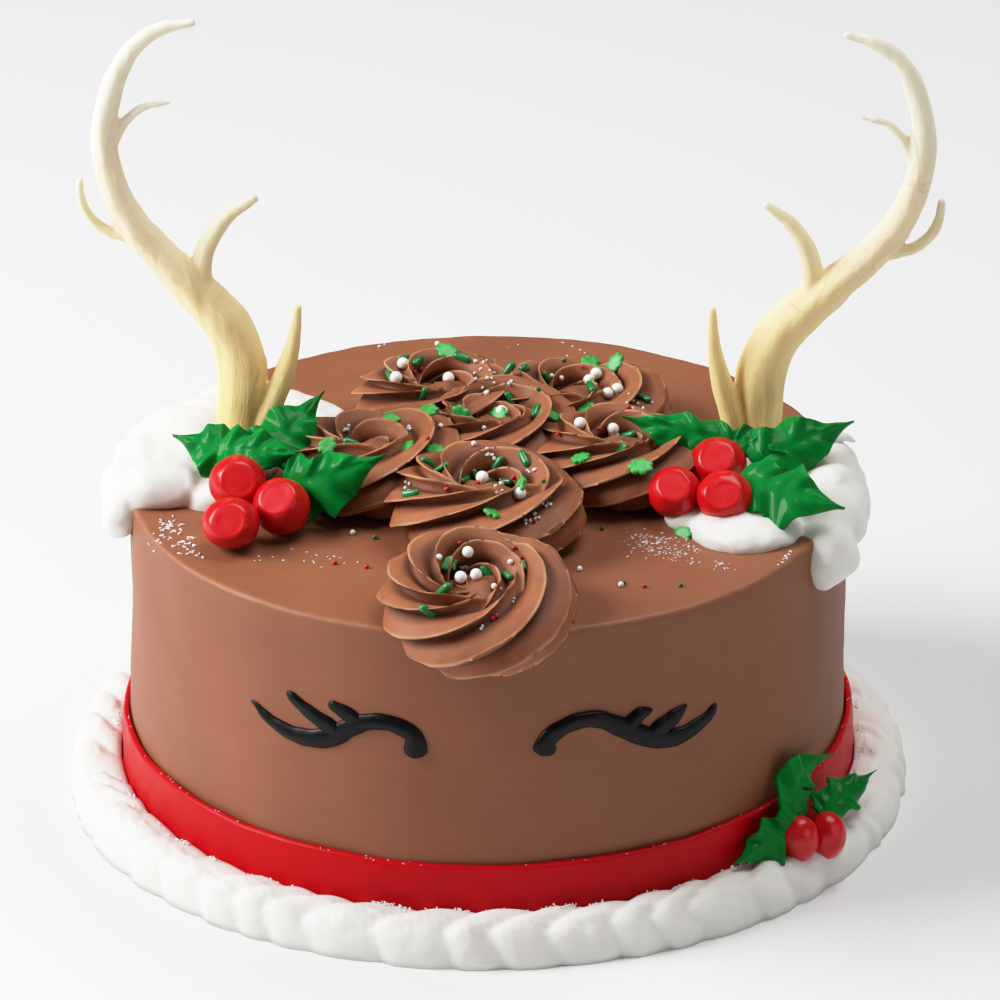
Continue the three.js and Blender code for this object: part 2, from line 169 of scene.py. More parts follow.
def joined(parts):
    """Several (points, faces) as one."""
    points, faces, start = [], [], 0
    for part_points, part_faces in parts:
        points.append(part_points)
        faces += [[i + start for i in face] for face in part_faces]
        start += len(part_points)
    return np.concatenate(points), faces


def make_piece(name, points, faces, slot, node=None, values=None, material=None):
    """A smooth mesh that rides on the cake, in its slot's material if it gets no other one.
    values are numbers or vectors for each point."""
    mesh = bpy.data.meshes.new(name)
    mesh.from_pydata((points * MM).tolist(), [], faces)
    mesh.validate()
    work = bmesh.new()
    work.from_mesh(mesh)
    bmesh.ops.recalc_face_normals(work, faces=work.faces)
    work.to_mesh(mesh)
    work.free()
    mesh.shade_smooth()
    for key, value in (values or {}).items():
        value = np.asarray(value, np.float32)
        kind, field = ("FLOAT", "value") if value.ndim == 1 else ("FLOAT_VECTOR", "vector")
        mesh.attributes.new(key, kind, "POINT").data.foreach_set(field, value.ravel())
    mesh.materials.append(material or MATERIALS[slot])
    piece = add_object(name, mesh)
    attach(piece, "root")
    if node:
        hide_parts(node)
    return piece


def points_of(mesh):
    flat = np.empty(len(mesh.vertices) * 3, np.float32)
    mesh.vertices.foreach_get("co", flat)
    return flat.reshape(-1, 3).astype(float) / MM


def faces_of(mesh):
    return [list(polygon.vertices) for polygon in mesh.polygons]


def melt(name, parts, voxel, rounds):
    """Joins overlapping closed parts into one skin with soft joints, as (points, faces)."""
    points, faces = joined(parts)
    mesh = bpy.data.meshes.new(name + "_rough")
    mesh.from_pydata((points * MM).tolist(), [], faces)
    rough = add_object(name + "_rough", mesh)
    remesh = rough.modifiers.new("skin", "REMESH")
    remesh.mode = "VOXEL"
    remesh.voxel_size = voxel * MM
    relax = rough.modifiers.new("relax", "SMOOTH")
    relax.factor = 0.5
    relax.iterations = rounds
    skin = bpy.data.meshes.new_from_object(rough.evaluated_get(bpy.context.evaluated_depsgraph_get()))
    bpy.data.objects.remove(rough)
    bpy.data.meshes.remove(mesh)
    melted = points_of(skin), faces_of(skin)
    bpy.data.meshes.remove(skin)
    return melted


def circle(count):
    return np.arange(count) * TAU / count


def ring_at(radius, angle, z):
    """Points at the angles, where the radius and the height may change with the angle."""
    return np.stack(np.broadcast_arrays(radius * np.cos(angle), radius * np.sin(angle), z), -1)


def lathe(profile, segments):
    """A closed solid of [radius, z] pairs turned about the vertical axis."""
    rings = [ring_at(r, circle(segments), z) for r, z in profile]
    return np.concatenate(rings), grid_faces(len(rings), segments)


def ball(columns, rows):
    """A ball of radius 1 with a tiny flat at each pole."""
    pole = 0.02
    angle = np.linspace(pole, math.pi - pole, rows)
    return lathe(np.stack([np.sin(angle), -np.cos(angle)], -1), columns)


CURVE_STEPS = 40


def curve_through(knots, count):
    """Evenly spaced points and unit tangents on a centripetal curve through the knots."""
    knots = np.asarray(knots, float)
    ends = [2 * knots[0] - knots[1]], [2 * knots[-1] - knots[-2]]
    padded = np.concatenate([ends[0], knots, ends[1]])
    gaps = np.sqrt(np.maximum(np.linalg.norm(np.diff(padded, axis=0), axis=1), TINY))
    times = np.concatenate([[0], np.cumsum(gaps)])
    dense = []
    for i in range(1, len(padded) - 2):
        is_last = i == len(padded) - 3
        t = np.linspace(times[i], times[i + 1], CURVE_STEPS, endpoint=is_last)[:, None]
        p, k = padded[i - 1 : i + 3], times[i - 1 : i + 3]
        a = [((k[j + 1] - t) * p[j] + (t - k[j]) * p[j + 1]) / (k[j + 1] - k[j]) for j in range(3)]
        b = [((k[j + 2] - t) * a[j] + (t - k[j]) * a[j + 1]) / (k[j + 2] - k[j]) for j in range(2)]
        dense.append(((k[2] - t) * b[0] + (t - k[1]) * b[1]) / (k[2] - k[1]))
    dense = np.concatenate(dense)
    along = distance_along(dense)
    at = np.linspace(0, along[-1], count)
    points = np.stack([np.interp(at, along, dense[:, i]) for i in range(3)], -1)
    return points, unit_rows(np.gradient(points, axis=0))


def distance_along(points):
    return np.concatenate([[0], np.cumsum(np.linalg.norm(np.diff(points, axis=0), axis=1))])


def spread_radii(radii, count):
    return np.interp(np.linspace(0, len(radii) - 1, count), range(len(radii)), radii)


# The domed end of a tube: how far out each ring lies and how wide it is, in radii
DOME = [(0.6, 0.35), (0.42, 0.72), (0.2, 0.93)]


def tube(knots, radii, count, sides, shape=None):
    """A round tube with domed ends. shape(s, angle) changes its radius, with s from 0 to 1."""
    points, tangents = curve_through(knots, count)
    radii = spread_radii(radii, count)
    first = np.cross(tangents[0], [0, 1, 0])
    sideways = [first / np.linalg.norm(first)]
    for tangent in tangents[1:]:
        turned = sideways[-1] - tangent * np.dot(sideways[-1], tangent)
        sideways.append(turned / np.linalg.norm(turned))
    sideways = np.array(sideways)
    upright = np.cross(tangents, sideways)
    angle = circle(sides)
    s = np.linspace(0, 1, count)[:, None]
    size = radii[:, None] * (shape(s, angle[None, :]) if shape else 1)
    rings = (
        points[:, None]
        + sideways[:, None] * (size * np.cos(angle))[..., None]
        + upright[:, None] * (size * np.sin(angle))[..., None]
    )
    before = [points[0] - tangents[0] * radii[0] * out + (rings[0] - points[0]) * wide
              for out, wide in DOME]
    after = [points[-1] + tangents[-1] * radii[-1] * out + (rings[-1] - points[-1]) * wide
             for out, wide in DOME[::-1]]
    rings = np.concatenate([before, rings, after])
    return rings.reshape(-1, 3), grid_faces(len(rings), sides)


# Materials. A colour is a tuple of the picture's levels, from 0 to 255.

# The range that most of a noise lies in, and all of a range
MOST = (0.3, 0.7)
ALL = (0.0, 1.0)


def linear(levels):
    """A colour of the picture as a shader colour."""
    values = [c / 255 for c in levels]
    return [c / 12.92 if c <= 0.04045 else ((c + 0.055) / 1.055) ** 2.4 for c in values] + [1.0]


class Shader:
    """A Principled material and short calls for the nodes that feed it."""

    def __init__(self, name, **sockets):
        self.material = bpy.data.materials.new(name)
        self.material.use_nodes = True
        self.tree = self.material.node_tree
        self.surface = self.tree.nodes["Principled BSDF"]
        for key, value in sockets.items():
            self.surface.inputs[key.replace("_", " ")].default_value = value
        self.place = self.node("ShaderNodeTexCoord").outputs["Object"]

    def node(self, kind, **settings):
        made = self.tree.nodes.new(kind)
        for key, value in settings.items():
            setattr(made, key, value)
        return made

    def link(self, out, into):
        self.tree.links.new(out, into)

    def value(self, key):
        return self.node("ShaderNodeAttribute", attribute_name=key).outputs["Fac"]

    def stretched(self, scale, key=None):
        """A piece's own vectors, or else the place, stretched along each axis."""
        mapping = self.node("ShaderNodeMapping")
        mapping.inputs["Scale"].default_value = scale
        kept = key and self.node("ShaderNodeAttribute", attribute_name=key).outputs["Vector"]
        self.link(kept or self.place, mapping.inputs["Vector"])
        return mapping.outputs["Vector"]

    def noise(self, scale, detail=3.0, roughness=0.55, source=None):
        made = self.node("ShaderNodeTexNoise")
        for key, number in (("Scale", scale), ("Detail", detail), ("Roughness", roughness)):
            made.inputs[key].default_value = number
        self.link(source or self.place, made.inputs["Vector"])
        return made.outputs["Fac"]

    def span(self, source, given=MOST, to=ALL):
        """The source's part between the given numbers, spread over another range."""
        made = self.node("ShaderNodeMapRange")
        for key, number in zip(("From Min", "From Max", "To Min", "To Max"), (*given, *to)):
            made.inputs[key].default_value = number
        self.link(source, made.inputs["Value"])
        return made.outputs["Result"]

    def blend(self, source, first, second, given=MOST, to=ALL):
        """Mixes two colours, each a colour or another node's output, by a span of the source."""
        made = self.node("ShaderNodeMix", data_type="RGBA")
        self.link(self.span(source, given, to), made.inputs[0])
        for socket, colour in ((6, first), (7, second)):
            if isinstance(colour, tuple):
                made.inputs[socket].default_value = linear(colour)
            else:
                self.link(colour, made.inputs[socket])
        return made.outputs[2]

    def product(self, first, second):
        made = self.node("ShaderNodeMath", operation="MULTIPLY")
        self.link(first, made.inputs[0])
        self.link(second, made.inputs[1])
        return made.outputs["Value"]

    def sum(self, first, second, gain):
        made = self.node("ShaderNodeMath", operation="MULTIPLY_ADD")
        made.inputs[1].default_value = gain
        self.link(second, made.inputs[0])
        self.link(first, made.inputs[2])
        return made.outputs["Value"]

    def bump(self, height, distance_mm, strength):
        made = self.node("ShaderNodeBump")
        made.inputs["Strength"].default_value = strength
        made.inputs["Distance"].default_value = distance_mm * MM
        self.link(height, made.inputs["Height"])
        self.link(made.outputs["Normal"], self.surface.inputs["Normal"])

    def colour(self, *blend):
        self.link(self.blend(*blend), self.surface.inputs["Base Color"])

    def roughness(self, source, to, given=MOST):
        self.link(self.span(source, given, to), self.surface.inputs["Roughness"])


def chocolate_coat():
    """Smoothed with a scraper: faint strokes round the wall, and a painted highlight that makes the rim
    paler.
    """
    shader = Shader("chocolate_coat", Specular_IOR_Level=0.3, Subsurface_Weight=0.04,
                    Subsurface_Scale=0.003, Subsurface_Radius=(1.0, 0.55, 0.35))
    strokes = shader.noise(1.0, 4.0, 0.6, shader.stretched((0.9, 0.9, 0.03), "coat"))
    clouds = shader.noise(28.0, 3.0, 0.5)
    base = shader.blend(clouds, (127, 76, 50), (137, 83, 56))
    base = shader.blend(strokes, base, (116, 68, 45), (0.35, 0.75), (0.0, 0.25))
    # The rim's paler colour is a painted highlight, broken up by a fine noise so that it is uneven.
    rim_highlight_breakup = shader.span(shader.noise(260.0, 2.0), (0.25, 0.65), (0.35, 1.0))
    shader.colour(shader.product(shader.value("rim"), rim_highlight_breakup), base, (147, 98, 69), ALL)
    shader.roughness(clouds, (0.5, 0.6))
    shader.bump(shader.sum(strokes, shader.noise(900.0, 2.0, 0.6), 0.35), 0.14, 0.5)
    return shader.material


def chocolate_icing():
    """Painted shade darkens the grooves, a painted highlight makes the ridges' thin edges pale, and it is
    streaked along the rope.
    """
    shader = Shader("chocolate_icing", Specular_IOR_Level=0.3, Subsurface_Weight=0.05,
                    Subsurface_Scale=0.003, Subsurface_Radius=(1.0, 0.55, 0.35))
    clouds, crest = shader.noise(120.0), shader.value("crest")
    base = shader.blend(clouds, (136, 79, 49), (150, 91, 59))
    # Painted shade: where crest is low, in the grooves, the colour turns a dark brown.
    base = shader.blend(crest, (87, 43, 22), base, (0.0, 0.45))
    # Painted highlight: where crest is high, on the ridges' thin edges, the colour turns a pale tan.
    shader.colour(crest, base, (190, 138, 99), (0.84, 1.0))
    shader.roughness(clouds, (0.46, 0.58))
    streaks = shader.noise(1.0, 3.0, 0.6, shader.stretched((6.0, 0.12, 1.0), "lane"))
    shader.bump(shader.sum(streaks, shader.noise(1100.0, 2.0, 0.6), 0.3), 0.25, 0.5)
    return shader.material


def white_icing():
    shader = Shader("white_icing", Roughness=0.5, Specular_IOR_Level=0.3, Subsurface_Weight=0.35,
                    Subsurface_Scale=0.008, Subsurface_Radius=(1.0, 0.85, 0.7))
    clouds = shader.noise(45.0, 3.0, 0.5)
    shader.colour(clouds, (226, 224, 217), (234, 232, 227))
    soft, fine = shader.noise(160.0, 2.0, 0.5), shader.noise(700.0, 3.0, 0.6)
    shader.bump(shader.sum(soft, fine, 0.3), 0.35, 0.45)
    return shader.material


def red_fondant():
    """Rolled out and wound round: satin, with soft upright waves."""
    shader = Shader("red_fondant", Specular_IOR_Level=0.1, Subsurface_Weight=0.03,
                    Subsurface_Scale=0.001)
    clouds = shader.noise(30.0, 3.0, 0.5)
    shader.colour(clouds, (176, 4, 14), (188, 6, 18))
    shader.roughness(clouds, (0.36, 0.46))
    soft = shader.noise(1.0, 3.0, 0.5, shader.stretched((90.0, 90.0, 30.0)))
    shader.bump(shader.sum(soft, shader.noise(1200.0, 2.0, 0.5), 0.2), 0.5, 0.4)
    return shader.material


def red_icing():
    """Glossy, and a little paler and duller on a berry's flattened face."""
    shader = Shader("red_icing", Specular_IOR_Level=0.25, Subsurface_Weight=0.05,
                    Subsurface_Scale=0.002, Coat_Weight=0.18, Coat_Roughness=0.15)
    facet = shader.value("facet")
    base = shader.blend(shader.noise(130.0), (184, 5, 13), (198, 9, 18))
    shader.colour(facet, base, (202, 23, 31), ALL)
    shader.roughness(facet, (0.3, 0.42), ALL)
    shader.bump(shader.noise(900.0, 3.0, 0.6), 0.22, 0.35)
    return shader.material


def green_icing():
    """Glossy, and brighter towards a leaf's edges."""
    shader = Shader("green_icing", Specular_IOR_Level=0.06, Subsurface_Weight=0.03,
                    Subsurface_Scale=0.001, Coat_Weight=0.12, Coat_Roughness=0.09)
    clouds = shader.noise(110.0)
    base = shader.blend(clouds, (0, 98, 33), (0, 117, 41))
    shader.colour(shader.value("edge"), base, (0, 129, 48), (0.55, 1.0), (0.0, 0.6))
    shader.roughness(clouds, (0.42, 0.56))
    shader.bump(shader.noise(600.0, 3.0, 0.6), 0.3, 0.35)
    return shader.material


def black_icing():
    shader = Shader("black_icing", Specular_IOR_Level=0.12, Coat_Weight=0.05, Coat_Roughness=0.12)
    clouds = shader.noise(200.0)
    shader.colour(clouds, (5, 5, 6), (13, 13, 15))
    shader.roughness(clouds, (0.34, 0.46))
    shader.bump(shader.noise(500.0, 3.0, 0.6), 0.3, 0.4)
    return shader.material


def antler_ivory():
    """Tan at the foot, cream further up and ivory at the tips, with a fine lengthwise grain."""
    shader = Shader("antler_ivory", Specular_IOR_Level=0.3, Subsurface_Weight=0.3,
                    Subsurface_Scale=0.006, Subsurface_Radius=(1.0, 0.8, 0.5))
    height = shader.value("height")
    grain = shader.noise(1.0, 4.0, 0.65, shader.stretched((2.2, 2.2, 0.16), "grain"))
    tan = shader.blend(grain, (244, 206, 121), (253, 223, 150))
    cream = shader.blend(grain, (242, 215, 164), (250, 229, 184))
    ivory = shader.blend(grain, (241, 230, 204), (247, 240, 221))
    low = shader.blend(height, tan, cream, (0.02, 0.5))
    shader.colour(height, low, ivory, (0.42, 0.85))
    shader.roughness(grain, (0.58, 0.7))
    shader.bump(grain, 0.4, 0.7)
    return shader.material


def sugar(name, dark, light, roughness, coat=0.0):
    """A sprinkle's hard sugar, a little uneven in colour."""
    shader = Shader(name, Roughness=roughness, Coat_Weight=coat, Coat_Roughness=0.15)
    clouds = shader.noise(420.0, 2.0, 0.5)
    shader.colour(clouds, dark, light, (0.35, 0.65))
    shader.bump(shader.noise(1500.0, 2.0, 0.6), 0.12, 0.3)
    return shader.material


def clear_sugar():
    shader = Shader("clear_sugar", Roughness=0.25, IOR=1.35, Transmission_Weight=0.3)
    clouds = shader.noise(900.0, 2.0, 0.5)
    shader.colour(clouds, (246, 246, 248), (254, 254, 254), (0.35, 0.65))
    return shader.material


# Each material slot's material has the slot's name.
MATERIALS = {make.__name__: make() for make in (
    chocolate_coat, chocolate_icing, white_icing, red_fondant, red_icing, green_icing, black_icing,
    antler_ivory)}
CLEAR_SUGAR = clear_sugar()


# Cake: a smoothed coat with a sharp rim and soft dents

RIM_LIFT = 0.12
TOP_DROP = 0.25


def make_cake():
    edge = [(CAKE_TOP_R - CAKE_EDGE_R * (1 - math.sin(a)), CAKE_HEIGHT - CAKE_EDGE_R * (1 - math.cos(a)))
            for a in np.linspace(0, math.pi / 2, 9)]
    flat = [(r, CAKE_HEIGHT) for r in np.linspace(2, CAKE_TOP_R - CAKE_EDGE_R - 0.8, 40)]
    wall = [(radius_at(z), z) for z in np.linspace(CAKE_HEIGHT - CAKE_EDGE_R - 1, 0, 44)]
    points, faces = lathe(flat + edge + wall, SEGMENTS)
    z = points[:, 2].copy()
    radial = np.hypot(points[:, 0], points[:, 1])
    out = points * FLAT / radial[:, None]
    # near_edge marks the rim: it lifts the rim a little and, as the rim value, drives the coat's painted
    # highlight there.
    near_edge = np.exp(-((radial - CAKE_TOP_R + 0.5) ** 2 + (z - CAKE_HEIGHT + 0.5) ** 2) / 0.4)
    coordinates = np.stack([radial, z, np.arctan2(points[:, 1], points[:, 0]) * CAKE_TOP_R], -1)
    broad, narrow = Waves(SEEDS["coat"], 55), Waves(SEEDS["coat"] + 1, 14)
    on_wall = smooth_step((CAKE_HEIGHT - z) / 4)
    above_sash = smooth_step(z / 20)
    dent = (0.2 * broad(points) + 0.05 * narrow(points)) * on_wall * above_sash + coat_swell(z)
    dent *= smooth_step(radial / 60)
    sink = (0.12 * broad(points * FLAT + 31) + 0.04 * narrow(points + 17) - TOP_DROP) * (1 - on_wall)
    lip = RIM_LIFT * near_edge * (1 + 0.8 * narrow(points * 2.2))
    points = points + out * dent[:, None]
    points[:, 2] += sink + lip * 0.5
    points += out * (lip * 0.5)[:, None]
    return make_piece("cake_coat", points, faces, "chocolate_coat", "cake",
                      {"rim": near_edge, "coat": coordinates})


# Sash: a rolled band that leans on the coat, with a slightly wavy upper edge

SASH_TOP = 26.0
SASH_FOOT = 1.0
SASH_INNER = 0.3
SASH_OUTER = 2.5
SASH_DIP = 1.0
SASH_HOLLOW = 0.15
SASH_ROUND = 1.1
SASH_MIDDLE_R = 108


def make_sash():
    section = [(SASH_INNER, SASH_FOOT), (SASH_OUTER - 0.5, SASH_FOOT), (SASH_OUTER - 0.1, SASH_FOOT + 0.6)]
    section += [(SASH_OUTER - SASH_HOLLOW * (1 - math.sin(math.pi * s)), SASH_FOOT + 1 + 22.2 * s)
                for s in np.linspace(0, 1, 12)]
    section += [(SASH_OUTER - SASH_ROUND * (1 - math.cos(a)) - SASH_HOLLOW,
                 SASH_TOP - 1.2 + SASH_ROUND * math.sin(a)) for a in np.linspace(0.1, math.pi / 2, 6)]
    section += [(SASH_INNER, SASH_TOP - 0.1)]
    angle = circle(SEGMENTS)
    around = ring_at(SASH_MIDDLE_R, angle, 0)
    wave, fine = Waves(SEEDS["sash"], 34), Waves(SEEDS["sash"] + 1, 11)
    front = np.clip(-np.sin(angle), 0, 1)
    rise = -0.2 + 0.14 * wave(around) + 0.03 * fine(around) - SASH_DIP * front**4
    rings = []
    for off, z in section:
        bulge = 0.16 * wave(around * FLAT + z * 1.4) + 0.06 * fine(around + z * 2)
        thick = off + (bulge - 0.2 if off > 1 else 0)
        rings.append(ring_at(radius_at(z) + thick, angle, z + rise * smooth_step((z - 14) / 12)))
    return make_piece("sash_band", np.concatenate(rings), grid_faces(len(rings), SEGMENTS, True),
                      "red_fondant", "sash")


# Border: a rope of icing pressed into slanted lumps of uneven length

BORDER_INNER_R = 110.3
BORDER_OUTER_R = 126.5
BORDER_MIDDLE_R = 117
BORDER_HEIGHT = 13.9
BORDER_LUMPS = 47
BORDER_SEGMENTS = 1000
BORDER_ROWS = 30
BORDER_TUCK = 0.4
BORDER_SPARE = 0.9
CROWN_AT = 0.46


def lump_shape(u):
    """How full a lump of the border is along its length: round, and fullest before its middle."""
    return 0.2 + 0.8 * np.sin(math.pi * u**0.7) ** 0.6


def make_border():
    angle = circle(BORDER_SEGMENTS)
    rng = np.random.default_rng(SEEDS["border"])
    starts = np.arange(BORDER_LUMPS) + rng.uniform(-0.4, 0.4, BORDER_LUMPS)
    fullness = rng.uniform(0.6, 1.0, BORDER_LUMPS)
    slip = rng.uniform(0.7, 1.3, BORDER_LUMPS)
    edges = np.append(starts, starts[0] + BORDER_LUMPS)
    inner = BORDER_INNER_R - BORDER_TUCK
    wave, small = Waves(SEEDS["border"] + 1, 30), Waves(SEEDS["border"] + 2, 5)
    turn = angle / TAU * BORDER_LUMPS
    slip_here = slip[np.floor(turn).astype(int) % BORDER_LUMPS]
    rings = []
    for i, w in enumerate(np.linspace(0.02, 1, BORDER_ROWS)):
        across, steep = -math.cos(math.pi * w), math.sin(math.pi * w)
        slant = 0.7 * smooth_step((w - 0.2) / 0.55) - 0.2 * smooth_step((w - 0.75) / 0.25)
        place = (turn + slant * slip_here) % BORDER_LUMPS
        place = np.where(place < edges[0], place + BORDER_LUMPS, place)
        lump = np.clip(np.searchsorted(edges, place, side="right") - 1, 0, BORDER_LUMPS - 1)
        u = (place - edges[lump]) / (edges[lump + 1] - edges[lump])
        full = (0.35 + 0.65 * lump_shape(np.clip(u, 0, 1))) * fullness[lump] ** 0.4
        for _ in range(4):
            full = (np.roll(full, 1) + 2 * full + np.roll(full, -1)) / 4
        around = ring_at(BORDER_MIDDLE_R, angle, i * 1.5)
        bump = 0.5 * wave(around) + 0.2 * small(around)
        width = (BORDER_OUTER_R - inner) * (0.87 + 0.13 * full)
        height = BORDER_HEIGHT * (0.68 + 0.32 * full)
        middle = inner + width * CROWN_AT
        z = (height + bump * 0.8) * steep**0.72
        if across > 0:
            r = middle + width * (1 - CROWN_AT) * across * (0.72 + 0.22 * full) + bump * 0.3
        else:
            r = middle + width * CROWN_AT * across
            z = np.maximum(z, height * (0.8 + 0.2 * steep))
        rings.append(ring_at(np.minimum(r, BORDER_OUTER_R - BORDER_SPARE), angle,
                             np.clip(z, 0.0, BORDER_HEIGHT)))
    rings[-1] *= FLAT
    rings += [rings[-1] * [0.97, 0.97, 0], ring_at(inner, angle, 0)]
    return make_piece("border_piping", np.concatenate(rings),
                      grid_faces(len(rings), BORDER_SEGMENTS, True), "white_icing", "border")


# Rosettes: a rope of icing with sharp ridges, piped from the middle outward and round once. at is
# the foot's place, r and h are the radius and the height, lean is how far the top stands beside the
# foot, tilt how far it tips forward in degrees, tail where the rope ends and foot the lowest level.
# Places of rosettes, mounds, berries and leaves count from the middle of the cake's top.

ROSETTES = {
    "rosette_front": dict(at=(-3, -90, -4), r=29.5, h=20, tilt=20, tail=70, foot=-1.5),
    "rosette_second": dict(at=(0.7, -38, 0), r=32, h=20, tail=20),
    "rosette_left": dict(at=(-33, -9.6, 0), r=29, h=19, lean=(-1, 5), tail=100),
    "rosette_right": dict(at=(37, -5, 0), r=28, h=19, lean=(4, 0), tail=60),
    "rosette_centre": dict(at=(1.2, 13, 0), r=27, h=19, lean=(1.2, -2), tail=150),
    "rosette_back_left": dict(at=(-14.5, 41, 0), r=29, h=17, lean=(3, -3), tail=40),
    "rosette_back_right": dict(at=(26.5, 36, 0), r=29, h=17, lean=(1, -2), tail=80),
}
RIDGES = 7
RIDGE_SAMPLES = np.array([0, 0.02, 0.05, 0.1, 0.17, 0.25, 0.34, 0.45, 0.57, 0.69, 0.8, 0.89, 0.95, 0.985])
RIDGE_DEPTH = 0.34
RIDGE_OVERHANG = 0.26
RIDGE_DROOP = 0.1
RIDGE_UNEVEN = 0.12
RIDGE_WOBBLE = 0.012
RIDGE_TEAR = 0.03
ROPE_HALF_WIDTH = 0.37
ROPE_FRONT = 0.17
ROPE_TURNS = 1.85
ROPE_STEPS = 240
ROPE_SOFT = 8
# The rope at a few turns: how far out it runs, how wide it is and how high it lies
ROPE_TURN_AT = [0, 0.25, 0.5, 0.8, 1.0, 1.6, 1.73, 1.85]
ROPE_PATH = [0.16, 0.26, 0.42, 0.74, 0.92, 1.0, 1.02, 1.07]
ROPE_WIDTH = [0.5, 0.62, 0.74, 0.88, 0.96, 1.0, 0.85, 0.4]
ROPE_LIFT = [0.68, 0.7, 0.74, 0.86, 0.95, 1.0, 1.0, 0.7]
# How fast the ridges climb over the rope: fast on the left, where they start, and slow on the right
TWIST_MEAN = 0.9
TWIST_SWING = 0.6
TWIST_AT = math.radians(200)
FLARE = 1.4
FLARE_HEIGHT = 5.5
LANE_SCALE = 12


def rosette_points(spec, seed):
    rng = np.random.default_rng(seed)
    turns = np.linspace(0, ROPE_TURNS, ROPE_STEPS)
    phi = math.radians(spec["tail"]) + (turns - ROPE_TURNS) * TAU

    def soft(values):
        window = 2 * ROPE_SOFT + 1
        padded = np.pad(np.interp(turns, ROPE_TURN_AT, values), ROPE_SOFT, mode="edge")
        return np.convolve(padded, np.ones(window) / window, "valid")

    half_wide = spec["r"] * ROPE_HALF_WIDTH
    path = (spec["r"] - half_wide) * soft(ROPE_PATH)
    wide = half_wide * soft(ROPE_WIDTH) * (1 - ROPE_FRONT * np.sin(phi))
    path = path - half_wide * (wide / half_wide - soft(ROPE_WIDTH)) * smooth_step(turns)
    tall = spec["h"] / 2 * soft(ROPE_LIFT)
    ridge = np.repeat(np.arange(RIDGES), len(RIDGE_SAMPLES))
    u = np.tile(RIDGE_SAMPLES, RIDGES)
    uneven = rng.uniform(-RIDGE_UNEVEN, RIDGE_UNEVEN, RIDGES)
    groove = np.sin(math.pi * u**0.62) ** 0.8
    crest = 1 - groove
    beta = ridge + u + uneven[ridge] * (1 - u) + uneven[(ridge + 1) % RIDGES] * u
    beta = TAU * (beta + RIDGE_OVERHANG * crest**1.6) / RIDGES
    depth = RIDGE_DEPTH * rng.uniform(0.85, 1.15, RIDGES)[ridge]
    phases = rng.uniform(0, TAU, (3, RIDGES))
    wobble = sum(RIDGE_WOBBLE * np.sin(rate * phi[:, None] + phases[i, ridge][None, :])
                 for i, rate in enumerate((2.3, 5.1, 9.7)))
    tears = rng.normal(0, RIDGE_TEAR, (ROPE_STEPS + 4, RIDGES))
    tears[-16:] *= 3
    tears = (tears[:-4] + 2 * tears[1:-3] + 3 * tears[2:-2] + 2 * tears[3:-1] + tears[4:]) / 9
    ragged = tears[:, ridge] * crest[None, :] ** 5
    size = 1 - depth * groove + wobble * (0.4 + crest) + ragged
    climb = TWIST_MEAN * phi + TWIST_SWING * np.sin(phi - TWIST_AT)
    sigma = beta[None, :] - climb[:, None]
    droop = RIDGE_DROOP * crest[None, :] ** 2 * np.sin(sigma)
    sideways = np.sin(sigma) * size
    upward = np.cos(sigma) * size - droop * 0.6
    radial = path[:, None] + wide[:, None] * sideways
    z = tall[:, None] * (1 + upward)
    flare = np.clip(1 - z / FLARE_HEIGHT, 0, 1) ** 2 * np.clip(sideways, 0, 1)
    radial = np.minimum(radial + FLARE * flare, spec["r"] + 0.3)
    z = np.maximum(z, spec.get("foot", 0))
    end = smooth_step((turns - ROPE_TURNS + 0.05) / 0.05)
    torn = rng.uniform(-0.02, 0.2, RIDGES)[ridge][None, :] * end[:, None] * crest[None, :]
    lane = np.stack(np.broadcast_arrays(beta * LANE_SCALE, phi[:, None] * LANE_SCALE, 0 * sigma), -1)
    return ring_at(radial, phi[:, None] + torn, z), np.broadcast_to(crest, sigma.shape), lane


def nest_floor(spec, seed):
    """The low middle of a rosette, which closes the hollow that the rope winds around."""
    points, faces = ball(40, 20)
    points = points * [0.44 * spec["r"], 0.44 * spec["r"], 0.72 * spec["h"]]
    points[:, 2] = np.maximum(points[:, 2] + 0.6 * Waves(seed, 9)(points), 0)
    return points, faces


def seat_rosette(points, spec):
    """Leans and tilts a rosette's points and puts them in their place on the cake."""
    lean = spec.get("lean", (0, 0))
    x = points[:, 0] + lean[0] * points[:, 2] / spec["h"]
    y = points[:, 1] + lean[1] * points[:, 2] / spec["h"]
    tilt = math.radians(spec.get("tilt", 0))
    turned = [x, y * math.cos(tilt) - points[:, 2] * math.sin(tilt),
              y * math.sin(tilt) + points[:, 2] * math.cos(tilt)]
    return np.stack(turned, -1) + np.array(spec["at"]) + [0, 0, CAKE_HEIGHT + 0.3]


def make_rosette(name, spec, seed):
    rope, crest, lane = rosette_points(spec, seed)
    floor, floor_faces = nest_floor(spec, seed)
    points, faces = joined([(rope.reshape(-1, 3), grid_faces(*crest.shape)), (floor, floor_faces)])
    # The nest floor's crest value of 0.3 gives it part of the grooves' painted shade.
    crest = np.concatenate([crest.ravel(), np.full(len(floor), 0.3)])
    lane = np.concatenate([lane.reshape(-1, 3), floor])
    return make_piece("piped_" + name, seat_rosette(points, spec), faces, "chocolate_icing", name,
                      {"crest": crest, "lane": lane})


# Antlers. Points are [outward, height] or [outward, height, forward] from the foot, and the radii
# after them are spread evenly along the curve.

